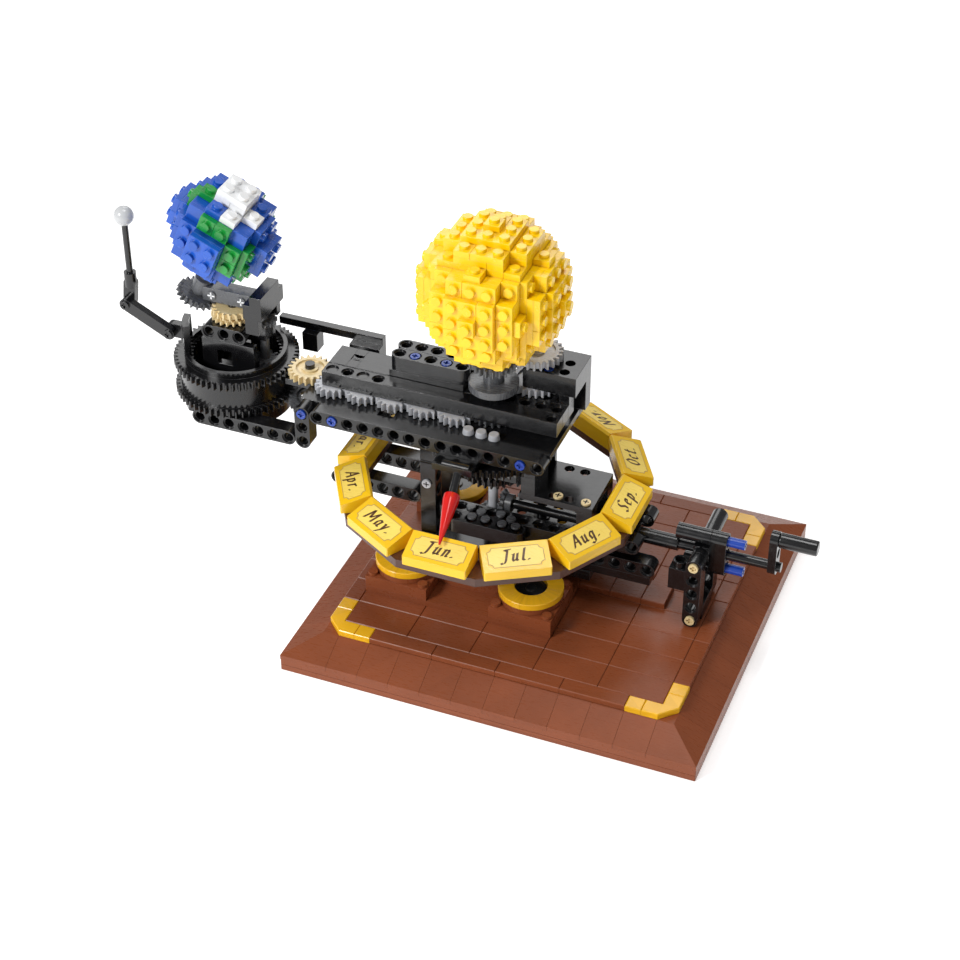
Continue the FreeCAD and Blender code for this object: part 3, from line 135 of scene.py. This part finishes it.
# ---------------------------------------------------------------- materials
def plastic(name, colour, rough=0.22, mottle=0.05, edge=0.25, edge_colour=None, per_piece=0.06,
            edge_radius=0.35, gloss=0.5, coat=0.15):
    """Moulded plastic: slight mottling, a different shade on each separate piece, fine
    scratches in the gloss, a faint skin bump, rounded edges, and painted light on the edges (a paler edge
    colour as a painted highlight, on brown a darker one as painted seam shade)."""
    mat = bpy.data.materials.new(name)
    mat.use_nodes = True
    tree = mat.node_tree
    nodes, link = tree.nodes, tree.links.new
    shader = nodes["Principled BSDF"]
    place = nodes.new("ShaderNodeTexCoord")

    def noise(scale, detail, stretch=None):
        tex = nodes.new("ShaderNodeTexNoise")
        tex.inputs["Scale"].default_value = scale
        tex.inputs["Detail"].default_value = detail
        if stretch:
            squeeze = nodes.new("ShaderNodeMapping")
            squeeze.inputs["Scale"].default_value = stretch
            link(place.outputs["Object"], squeeze.inputs["Vector"])
            link(squeeze.outputs["Vector"], tex.inputs["Vector"])
        else:
            link(place.outputs["Object"], tex.inputs["Vector"])
        return tex.outputs["Fac"]

    def ranged(value, low, high, start=0.3, stop=0.7):
        node = nodes.new("ShaderNodeMapRange")
        node.inputs["From Min"].default_value = start
        node.inputs["From Max"].default_value = stop
        node.inputs["To Min"].default_value = low
        node.inputs["To Max"].default_value = high
        link(value, node.inputs["Value"])
        return node.outputs["Result"]

    def maths(kind, a, b):
        node = nodes.new("ShaderNodeMath")
        node.operation = kind
        for slot, value in zip(node.inputs, (a, b)):
            if isinstance(value, (int, float)):
                slot.default_value = value
            else:
                link(value, slot)
        return node.outputs[0]

    shape = nodes.new("ShaderNodeNewGeometry")
    piece = ranged(shape.outputs["Random Per Island"], 1 - per_piece, 1 + per_piece, 0, 1)
    patch = ranged(noise(55, 3), 1 - mottle, 1 + mottle)
    shade = maths("MULTIPLY", piece, patch)
    tint = nodes.new("ShaderNodeHueSaturation")
    tint.inputs["Color"].default_value = (*colour, 1)
    link(shade, tint.inputs["Value"])

    rounded = nodes.new("ShaderNodeBevel")
    rounded.samples = 4
    rounded.inputs["Radius"].default_value = edge_radius * MM
    facing = nodes.new("ShaderNodeVectorMath")
    facing.operation = "DOT_PRODUCT"
    link(rounded.outputs["Normal"], facing.inputs[0])
    link(shape.outputs["Normal"], facing.inputs[1])
    # painted light on the edges: where the rounded normal turns from the true one the colour mixes
    # towards edge_colour, a painted highlight (paler) on most plastics and painted shade in the seams
    # (darker) on brown, broken up by noise
    painted_edge_highlight_and_shade = ranged(facing.outputs["Value"], edge, 0.0, 0.86, 0.995)
    painted_edge_highlight_and_shade = maths("MULTIPLY", painted_edge_highlight_and_shade, ranged(noise(420, 2), 0.35, 1.0))
    mix = nodes.new("ShaderNodeMix")
    mix.data_type = "RGBA"
    link(painted_edge_highlight_and_shade, mix.inputs["Factor"])
    link(tint.outputs["Color"], mix.inputs[6])
    # default edge colour: a paler tint of the base, the painted edge highlight
    pale = edge_colour or [min(1.0, c * 1.25 + 0.05) for c in colour]
    mix.inputs[7].default_value = (*pale, 1)
    link(mix.outputs[2], shader.inputs["Base Color"])

    scratch = ranged(noise(260, 4, (1, 6, 1)), 0.75, 1.35)
    link(maths("MULTIPLY", scratch, rough), shader.inputs["Roughness"])
    bump = nodes.new("ShaderNodeBump")
    bump.inputs["Strength"].default_value = 0.25
    bump.inputs["Distance"].default_value = 0.00004
    link(noise(750, 3), bump.inputs["Height"])
    link(rounded.outputs["Normal"], bump.inputs["Normal"])
    link(bump.outputs["Normal"], shader.inputs["Normal"])
    shader.inputs["IOR"].default_value = 1.52
    shader.inputs["Specular IOR Level"].default_value = gloss
    shader.inputs["Coat Weight"].default_value = coat
    shader.inputs["Coat Roughness"].default_value = 0.12
    return mat


# slot or use: the material's name, its colour and whatever differs from plastic()'s own values
PLASTICS = {
    # edge_colour is painted light on the edges: brown's darker one is painted shade in the seams between
    # its tiles, the paler ones are painted highlights
    "brown": ("brown_plastic", (0.235, 0.062, 0.022),
              dict(rough=0.3, mottle=0.06, edge=0.5, edge_colour=(0.12, 0.03, 0.012),
                   edge_radius=0.1, gloss=0.25, coat=0.0)),
    "dark_brown": ("dark_brown_plastic", (0.07, 0.022, 0.01), dict(rough=0.35)),
    "gold": ("gold_plastic", (0.86, 0.46, 0.012), dict(rough=0.2, mottle=0.04, edge=0.3)),
    "label": ("month_tile_plastic", (0.93, 0.56, 0.012),
              dict(rough=0.2, mottle=0.04, edge=0.35, edge_colour=(1.0, 0.8, 0.25))),
    "black": ("black_plastic", (0.006, 0.006, 0.0068),
              dict(rough=0.2, mottle=0.15, edge=0.6, edge_colour=(0.07, 0.07, 0.075),
                   per_piece=0.2)),
    "light_grey": ("light_grey_plastic", (0.46, 0.47, 0.5), dict(rough=0.25)),
    "dark_grey": ("dark_grey_plastic", (0.085, 0.088, 0.095),
                  dict(rough=0.26, mottle=0.08, edge=0.4, edge_colour=(0.2, 0.2, 0.21))),
    "tan": ("tan_plastic", (0.76, 0.6, 0.32), dict(rough=0.26)),
    "blue": ("blue_plastic", (0.008, 0.05, 0.36), dict()),
    "red": ("red_plastic", (0.66, 0.01, 0.008), dict(rough=0.12, per_piece=0.0)),
    "sun_yellow": ("sun_yellow_plastic", (0.97, 0.62, 0.002),
                   dict(mottle=0.03, edge=0.3, edge_colour=(1.0, 0.78, 0.1), per_piece=0.05)),
    "ocean": ("ocean_blue_plastic", (0.008, 0.085, 0.47),
              dict(edge=0.35, edge_colour=(0.12, 0.35, 0.85), per_piece=0.12)),
    "land": ("land_green_plastic", (0.006, 0.27, 0.035),
             dict(edge=0.35, edge_colour=(0.1, 0.5, 0.15), per_piece=0.15)),
    "ice": ("ice_white_plastic", (0.86, 0.87, 0.88), dict(mottle=0.03)),
    "pearl": ("pearl_plastic", (0.52, 0.53, 0.54), dict(rough=0.15, mottle=0.04, per_piece=0.0)),
    "label_paper": ("label_print", (0.97, 0.71, 0.14),
                    dict(rough=0.3, mottle=0.06, per_piece=0.03)),
    "ink": ("brown_ink", (0.1, 0.042, 0.012),
            dict(rough=0.45, mottle=0.1, edge=0.0, per_piece=0.0)),
    "fine_ink": ("ornament_ink", (0.6, 0.38, 0.08),
                 dict(rough=0.45, mottle=0.1, edge=0.0, per_piece=0.0)),
}


def make_materials():
    return {key: plastic(name, colour, **changes) for key, (name, colour, changes) in PLASTICS.items()}


def paint_nodes(mats):
    """Give each CAD node the plastic that its material slot names."""
    for part in frame["record"]["subparts"]:
        node = frame["nodes"][part["node"]]
        node.data.materials.clear()
        node.data.materials.append(mats[part["material_slot"]])
        node.data.polygons.foreach_set("material_index", [0] * len(node.data.polygons))


# ---------------------------------------------------------------- building pieces
def finish_piece(name, bm, material, body, bevel=0.0, smooth=35):
    """Turn a bmesh built in millimetres into a piece that rides on a body."""
    bmesh.ops.scale(bm, vec=(MM, MM, MM), verts=bm.verts)
    bmesh.ops.recalc_face_normals(bm, faces=bm.faces)
    mesh = bpy.data.meshes.new(name)
    bm.to_mesh(mesh)
    bm.free()
    mesh.materials.append(material)
    mesh.shade_smooth()
    mesh.set_sharp_from_angle(angle=math.radians(smooth))
    piece = bpy.data.objects.new(name, mesh)
    bpy.context.scene.collection.objects.link(piece)
    if bevel:
        soften = piece.modifiers.new("soft_edges", "BEVEL")
        soften.width = bevel * MM
        soften.segments = 2
        soften.limit_method = "ANGLE"
        soften.angle_limit = math.radians(40)
        soften.harden_normals = True
    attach(piece, body)
    return piece


def add_box(bm, place, low, high):
    size = [b - a for a, b in zip(low, high)]
    middle = [(a + b) / 2 for a, b in zip(low, high)]
    made = bmesh.ops.create_cube(bm, size=1.0)
    bmesh.ops.scale(bm, vec=size, verts=made["verts"])
    bmesh.ops.translate(bm, vec=middle, verts=made["verts"])
    bmesh.ops.transform(bm, matrix=place, verts=made["verts"])


def add_rod(bm, place, start, length, radius, sides=20, top=None):
    made = bmesh.ops.create_cone(bm, cap_ends=True, segments=sides, radius1=radius,
                                 radius2=radius if top is None else top, depth=length)
    bmesh.ops.translate(bm, vec=(start[0], start[1], start[2] + length / 2), verts=made["verts"])
    bmesh.ops.transform(bm, matrix=place, verts=made["verts"])


# ---------------------------------------------------------------- balls of plates
def ball_cells(radius, core, reach):
    """The square plate cells of a stepped ball, as (axis, sign, low, u, v)."""
    layers = int(round((radius - core) / PLATE))
    span = int(radius // STUD) + 1
    shift = 0.0 if (2 * core / STUD) % 2 == 1 else STUD / 2
    centres = [shift + STUD * k for k in range(-span - 1, span + 1)]
    cells = []
    for axis in "zxy":
        for layer in range(layers):
            low = round(core + PLATE * layer, 3)
            for u in centres:
                for v in centres:
                    far = math.hypot(abs(u) + STUD / 2, abs(v) + STUD / 2)
                    too_far = math.hypot(far, low + PLATE) > reach
                    v_hidden = axis != "z" and abs(v) + STUD / 2 > core + 0.01
                    u_hidden = axis == "y" and abs(u) + STUD / 2 > core + 0.01
                    if not (too_far or v_hidden or u_hidden):
                        cells += [(axis, sign, low, u, v) for sign in (-1, 1)]
    return cells


def cap_frame(axis, sign):
    """Turns a ball's layer frame, whose z is outwards, to one of its six sides."""
    outward = {"z": Vector((0, 0, sign)), "x": Vector((sign, 0, 0)), "y": Vector((0, sign, 0))}[axis]
    second = Vector((0, 0, 1)) if axis != "z" else Vector((0, 1, 0))
    first = second.cross(outward)
    return Matrix((first, second, outward)).transposed().to_4x4()


def plates_from(cells, longest):
    """Group each layer's cells into plates one or two studs wide, as real sets are built."""
    left = set(cells)
    plates = []
    for cell in sorted(cells):
        if cell not in left:
            continue
        axis, sign, low, u, v = cell
        along_u = rng.random() < 0.5
        wide = 2 if rng.random() < 0.45 else 1
        long = rng.choice(longest)
        span_u, span_v = (long, wide) if along_u else (wide, long)
        count_u = 1
        while count_u < span_u and (axis, sign, low, u + STUD * count_u, v) in left:
            count_u += 1
        count_v = 1
        while count_v < span_v and all((axis, sign, low, u + STUD * i, v + STUD * count_v) in left
                                       for i in range(count_u)):
            count_v += 1
        for i in range(count_u):
            for j in range(count_v):
                left.discard((axis, sign, low, u + STUD * i, v + STUD * j))
        plates.append((axis, sign, low, u, v, count_u, count_v))
    return plates


def build_ball(name, cells, covering, place, core, mats, body, slot_name):
    """Every plate as a separate block in one piece, with a hairline seam, and studs where none covers it.
    """
    bm = bmesh.new()
    if core:
        add_box(bm, place, (-core + 0.1,) * 3, (core - 0.1,) * 3)
    for axis, sign, low, u, v, count_u, count_v in plates_from(cells, (1, 2, 2, 3, 4)):
        turn = place @ cap_frame(axis, sign)
        u0, v0 = u - STUD / 2, v - STUD / 2
        add_box(bm, turn, (u0 + SEAM, v0 + SEAM, low),
                (u0 + STUD * count_u - SEAM, v0 + STUD * count_v - SEAM, low + PLATE - SEAM / 2))
        for i in range(count_u):
            for j in range(count_v):
                spot = (axis, sign, round(low + PLATE, 3), u + STUD * i, v + STUD * j)
                if spot in covering:
                    continue
                add_rod(bm, turn, (spot[3], spot[4], low + PLATE - 0.1), STUD_H + 0.1, STUD_R)
    return finish_piece(name, bm, mats[slot_name], body, bevel=0.14)


# rough patches as ellipses: longitude, latitude, half width, half height in degrees;
# longitude 0 faces the front and +90 faces the Sun
CONTINENTS = [(38, -5, 20, 45), (5, 30, 48, 9), (-78, 38, 20, 26), (170, 20, 40, 30), (70, -45, 25, 15)]
ICE_FIELD = (45, 50, 35, 14)
ICE_LATITUDE = 58


def cell_region(cell):
    axis, sign, low, u, v = cell
    spot = cap_frame(axis, sign) @ Vector((u, v, low + PLATE / 2))
    latitude = math.degrees(math.asin(spot.z / spot.length))
    longitude = math.degrees(math.atan2(spot.x, -spot.y))

    def inside(lon, lat, wide, high):
        across = (longitude - lon + 180) % 360 - 180
        return (across / wide) ** 2 + ((latitude - lat) / high) ** 2 < 1

    if latitude > ICE_LATITUDE or inside(*ICE_FIELD):
        return "ice"
    return "land" if any(inside(*spot) for spot in CONTINENTS) else "ocean"


def make_sun(mats):
    every = ball_cells(SUN_R, SUN_CORE, SUN_REACH)
    # the drive shaft comes up through the middle of the lowest plates
    cells = [cell for cell in every if cell[:2] != ("z", -1) or cell[3:] != (0.0, 0.0)]
    place = Matrix.Translation(SUN_CENTRE)
    sun = build_ball("sun_plates", cells, set(every), place, SUN_CORE, mats, "sun", "sun_yellow")
    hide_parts("sun_ball")


def make_earth(mats):
    place = Matrix.Translation(EARTH_APEX - TILT_AXIS * EARTH_DROP) @ Matrix.Rotation(TILT, 4, "Y")
    cells = ball_cells(EARTH_R, EARTH_CORE, EARTH_REACH)
    every = set(cells)
    for region in ("ocean", "land", "ice"):
        own = [cell for cell in cells if cell_region(cell) == region]
        core = EARTH_CORE if region == "ocean" else 0
        ball = build_ball("earth_%s_plates" % region, own, every, place, core, mats, "earth", region)
        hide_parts("earth_" + region)


# ---------------------------------------------------------------- lettering on the month tiles
# Letters as pen strokes on a grid: x to the right, y up, 0 the line and 1 the height of an "n".
LETTERS = {
    "J": [(0.1, -0.15), (0.25, -0.3), (0.5, -0.2), (0.6, 0.1), (0.65, 1.35), (0.3, 1.5),
          (0.95, 1.55)],
    "F": [[(0.25, 0), (0.35, 1.5)], [(0.05, 1.45), (0.9, 1.55)], [(0.15, 0.8), (0.7, 0.85)]],
    "M": [[(0.05, 0), (0.2, 1.45)], [(0.2, 1.5), (0.65, 0.4)], [(0.65, 0.4), (1.15, 1.5)],
          [(1.15, 1.5), (1.2, 0)]],
    "A": [[(0.0, 0), (0.6, 1.55)], [(0.6, 1.55), (0.85, 0)], [(0.25, 0.55), (0.8, 0.55)]],
    "S": [(0.05, 0.15), (0.3, -0.03), (0.65, 0.15), (0.65, 0.55), (0.2, 0.95), (0.2, 1.35),
          (0.55, 1.55), (0.85, 1.4)],
    "O": [(0.45, 0.0), (0.12, 0.4), (0.15, 1.1), (0.5, 1.55), (0.85, 1.2), (0.85, 0.45),
          (0.45, 0.0)],
    "N": [[(0.05, 0), (0.15, 1.45)], [(0.15, 1.5), (0.85, 0.05)], [(0.85, 0.05), (0.95, 1.55)]],
    "D": [[(0.2, 0), (0.25, 1.5)], [(0.05, 1.5), (0.6, 1.5), (0.95, 1.0), (0.85, 0.35),
          (0.5, 0.0), (0.1, 0.0)]],
    "a": [[(0.6, 0.85), (0.3, 1.0), (0.1, 0.6), (0.2, 0.05), (0.55, 0.3)], [(0.6, 0.95),
          (0.55, 0.15), (0.75, 0.05)]],
    "b": [(0.15, 1.55), (0.15, 0.1), (0.45, 0.0), (0.65, 0.4), (0.6, 0.85), (0.4, 1.0),
          (0.18, 0.75)],
    "c": [(0.6, 0.85), (0.35, 1.0), (0.12, 0.65), (0.18, 0.15), (0.4, 0.0), (0.62, 0.15)],
    "e": [(0.15, 0.5), (0.55, 0.65), (0.5, 0.95), (0.25, 0.95), (0.12, 0.5), (0.25, 0.05),
          (0.6, 0.15)],
    "g": [[(0.6, 0.9), (0.3, 1.0), (0.1, 0.6), (0.25, 0.1), (0.55, 0.3)],
          [(0.62, 0.95), (0.55, -0.3), (0.3, -0.5), (0.05, -0.35)]],
    "l": [(0.25, 1.6), (0.2, 0.15), (0.4, 0.02)],
    "n": [[(0.05, 0.9), (0.2, 0.95), (0.15, 0.0)], [(0.2, 0.75), (0.5, 1.0), (0.6, 0.75),
          (0.55, 0.1), (0.7, 0.05)]],
    "o": [(0.35, 0.0), (0.1, 0.4), (0.2, 0.9), (0.45, 1.0), (0.65, 0.6), (0.55, 0.1), (0.35, 0.0)],
    "p": [[(0.1, 0.95), (0.2, 0.9), (0.1, -0.5)], [(0.2, 0.75), (0.45, 1.0), (0.65, 0.6),
          (0.45, 0.05), (0.2, 0.1)]],
    "r": [[(0.05, 0.9), (0.2, 0.95), (0.15, 0.0)], [(0.2, 0.7), (0.4, 1.0), (0.55, 0.9)]],
    "t": [[(0.25, 1.35), (0.2, 0.15), (0.4, 0.02), (0.5, 0.12)], [(0.05, 0.95), (0.5, 0.98)]],
    "u": [[(0.05, 0.9), (0.18, 0.95), (0.15, 0.2), (0.3, 0.0), (0.55, 0.3)], [(0.6, 0.98),
          (0.58, 0.15), (0.75, 0.05)]],
    "v": [(0.05, 0.95), (0.25, 0.95), (0.3, 0.05), (0.6, 0.55), (0.6, 0.98)],
    "y": [[(0.05, 0.95), (0.2, 0.9), (0.35, 0.1)], [(0.65, 0.98), (0.35, 0.05), (0.05, -0.5)]],
    ".": [(0.08, 0.06), (0.16, 0.1), (0.1, 0.16)],
}
WIDE = {"M": 1.45, "J": 1.0, "F": 0.95, "A": 1.0, "S": 0.95, "O": 1.05, "N": 1.1, "D": 1.1,
        "l": 0.55, "r": 0.7, "t": 0.62, ".": 0.3}
# the direction that each tile faces, in degrees from +x
MONTH_NAMES = {-90: "Jun.", -60: "Jul.", -30: "Aug.", 0: "Sep.", 30: "Oct.", 60: "Nov.",
               90: "Dec.", 120: "Jan.", 150: "Feb.", 180: "Mar.", -150: "Apr.", -120: "May."}


SLANT, LETTER_GAP, LETTER_MIDDLE = 0.22, 0.22, 0.62  # in the letters' own grid


def hull(points):
    """Corners of the smallest convex outline round some flat points, anticlockwise."""
    points = sorted(set(points))

    def half(run):
        out = []
        for p in run:
            while len(out) > 1 and ((out[-1][0] - out[-2][0]) * (p[1] - out[-2][1])
                                    - (out[-1][1] - out[-2][1]) * (p[0] - out[-2][0])) <= 1e-9:
                out.pop()
            out.append(p)
        return out[:-1]
    return half(points) + half(points[::-1])


def add_prism(bm, outline, to_world, low, high):
    """A flat outline given a thickness, from `low` to `high` above its plane."""
    bottom = [bm.verts.new(to_world(x, y, low)) for x, y in outline]
    top = [bm.verts.new(to_world(x, y, high)) for x, y in outline]
    bm.faces.new(top)
    bm.faces.new(bottom[::-1])
    for i in range(len(outline)):
        j = (i + 1) % len(outline)
        bm.faces.new((bottom[i], bottom[j], top[j], top[i]))


FACE_RUN, FACE_DROP = 14.8, 4.8     # the sloping face of a month tile, outwards and down
FACE_MIDDLE = (68.6, 73.6)          # its middle: distance from the main axis, and height


def label_plane(angle):
    """Maps (right, up, lift) in millimetres on one month tile's sloping face to the row frame."""
    out = Vector((math.cos(angle), math.sin(angle), 0))
    across = Vector((-out.y, out.x, 0))
    run, drop = FACE_RUN, FACE_DROP
    slope = math.hypot(run, drop)
    up = (Vector((0, 0, drop)) - out * run) / slope
    normal = (out * drop + Vector((0, 0, run))) / slope
    centre = MAIN + out * FACE_MIDDLE[0] + Vector((0, 0, FACE_MIDDLE[1]))
    return lambda x, y, lift: centre + across * x + up * y + normal * lift


def label_outline(wide, high, bite):
    """A plaque with its corners bitten out by quarter circles."""
    points = []
    for sx, sy, start in ((1, 1, 180), (-1, 1, 270), (-1, -1, 0), (1, -1, 90)):
        arc = [math.radians(start + 15 * k) for k in range(6, -1, -1)]
        points += [(sx * wide + bite * math.cos(a), sy * high + bite * math.sin(a)) for a in arc]
    return points


def stroke_hulls(run, nib):
    return [hull([(x + dx, y + dy) for x, y in pair for dx, dy in nib]) for pair in zip(run, run[1:])]


def letter_shapes(text, height):
    """The text's pen strokes as convex outlines, slanted and centred, `height` to the n's top."""
    nib = [(-0.12, -0.07), (0.12, 0.05), (0.09, 0.1), (-0.15, -0.02)]
    widths = [WIDE.get(letter, 0.85) + LETTER_GAP for letter in text]
    cursor = -sum(widths) / 2
    shapes = []
    for letter, wide in zip(text, widths):
        strokes = LETTERS[letter]
        strokes = strokes if isinstance(strokes[0], list) else [strokes]
        for run in strokes:
            for outline in stroke_hulls(run, nib):
                shapes.append([((x + cursor + SLANT * y) * height, (y - LETTER_MIDDLE) * height)
                               for x, y in outline])
        cursor += wide
    return shapes


PLAQUE = (13.3, 5.6)                # half width and half height of the printed panel
CORNER = 2.1                        # radius of the bites out of its corners
LETTER_HEIGHT = 4.2                 # to the top of an "n"
RULE = (0.4, 0.35)                  # width of the ornament line at the sides, and above and below


def make_month_labels(mats):
    paper, ink, fine = bmesh.new(), bmesh.new(), bmesh.new()
    outline = label_outline(*PLAQUE, CORNER)
    inner = label_outline(PLAQUE[0] - RULE[0], PLAQUE[1] - RULE[1], CORNER)
    for degrees, name in MONTH_NAMES.items():
        plane = label_plane(math.radians(degrees))
        # thin ornament line: pieces of ribbon between the two outlines
        for i in range(len(outline)):
            j = (i + 1) % len(outline)
            add_prism(fine, [outline[i], outline[j], inner[j], inner[i]], plane, -0.05, 0.07)
        add_prism(paper, outline, plane, -0.05, 0.05)
        for shape in letter_shapes(name, LETTER_HEIGHT):
            add_prism(ink, shape, plane, -0.02, 0.09)
    finish_piece("month_label_panels", paper, mats["label_paper"], "base")
    finish_piece("month_lettering", ink, mats["ink"], "base")
    finish_piece("month_label_lines", fine, mats["fine_ink"], "base")


# ---------------------------------------------------------------- small fittings
def side_on(x, y, z):
    """A frame at a point whose own z runs towards the front."""
    turn = Matrix(((1, 0, 0), (0, 0, -1), (0, 1, 0))).to_4x4()
    return Matrix.Translation(Vector((x, y, z))) @ turn


def add_cross(bm, place, size=1.9, thick=0.7, rise=0.25):
    add_box(bm, place, (-size, -thick / 2, -0.1), (size, thick / 2, rise))
    add_box(bm, place, (-thick / 2, -size, -0.1), (thick / 2, size, rise))


def make_arm_fittings(mats):
    """Smooth plates over the deck's holes, and three grey lobes in front of the Moon gears."""
    front_row, rear_rows = (-11.8, -4.2), (-3.8, 11.8)
    left, right = -115.8, -84.3     # the plate at the Earth end, with a square hole through it
    hole = (-107.0, -101.5, 2.0, 7.0)
    covers = bmesh.new()
    for x0, x1, (y0, y1) in (
            (-84.0, -4.2, front_row), (-45.6, -38.0, rear_rows),
            (left, hole[0], rear_rows), (hole[1], right, rear_rows),
            (hole[0], hole[1], (rear_rows[0], hole[2])),
            (hole[0], hole[1], (hole[3], rear_rows[1]))):
        add_box(covers, Matrix.Identity(4), (x0, y0, DECK_TOP - 0.02), (x1, y1, DECK_TOP + COVER))
    finish_piece("arm_deck_covers", covers, mats["black"], "arm", bevel=0.1)

    lobes = bmesh.new()
    for x in (-38.0, -31.5, -25.0):
        spot = Matrix.Translation(Vector((x, -17.4, FLOOR_TOP)))
        add_rod(lobes, spot, (0, 0, 0), 3.0, 2.9, sides=28, top=2.4)
    finish_piece("arm_front_lobes", lobes, mats["light_grey"], "arm", bevel=0.3)


def make_tower_fittings(mats):
    """Pin ends with a dark cross in them, dark discs in the gold rings, studs on the liftarms."""
    tan_places = [Matrix.Translation(Vector((x, -POST_Y, SHELF_TOP))) for x in (5.5, 19.5)]
    crosses = bmesh.new()
    for name, slot_name, places in (
            ("tower_axle_ends", "light_grey", [side_on(-60.5, -15.4, 67.5)]),
            ("tower_tan_pins", "tan", tan_places)):
        ends = bmesh.new()
        for place in places:
            add_rod(ends, place, (0, 0, -0.2), 1.2, PIN_R, 24)
            add_cross(crosses, place @ Matrix.Translation(Vector((0, 0, 1.0))), 1.5, 0.6, 0.05)
        finish_piece(name, ends, mats[slot_name], "base", bevel=0.1)
    finish_piece("tower_pin_crosses", crosses, mats["black"], "base")

    low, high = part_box("gold_ring_tiles")
    middle = [(a + b) / 2 / MM for a, b in zip(low, high)]
    inserts = bmesh.new()
    for sx in (-1, 1):
        for sy in (-1, 1):
            spot = (middle[0] + sx * 4 * STUD, middle[1] + sy * 4 * STUD, low[2] / MM)
            add_rod(inserts, Matrix.Translation(Vector(spot)), (0, 0, 0.02), 0.9, STUD - 0.1, 40)
            add_rod(inserts, Matrix.Translation(Vector(spot)), (0, 0, 0.5), 1.2, 2.6, 24)
    finish_piece("ring_tile_inserts", inserts, mats["black"], "base", bevel=0.2)

    studs = bmesh.new()
    for first in (-39.0, -23.5):
        for dx, y in ((0, -POST_Y), (6.0, -13.5), (3.2, -18.5), (10.0, -18.0)):
            place = Matrix.Translation(Vector((first + dx, y, LIFTARM_TOP)))
            add_rod(studs, place, (0, 0, -0.1), 1.3, 2.3, 24)
    finish_piece("tower_front_studs", studs, mats["dark_grey"], "base", bevel=0.25)


def make_earth_fittings(mats):
    """The white crosses on the front of the arm that holds the Earth's axle."""
    crosses = bmesh.new()
    for x in (-177.0, -161.0):
        add_cross(crosses, side_on(x, -4.6, 141.0), 1.9, 0.75, 0.3)
    finish_piece("axle_arm_crosses", crosses, mats["ice"], "earth_stage", bevel=0.08)


# ---------------------------------------------------------------- run
make_camera()
make_stage()
mats = make_materials()
paint_nodes(mats)
make_sun(mats)
make_earth(mats)
make_month_labels(mats)
make_arm_fittings(mats)
make_tower_fittings(mats)
make_earth_fittings(mats)
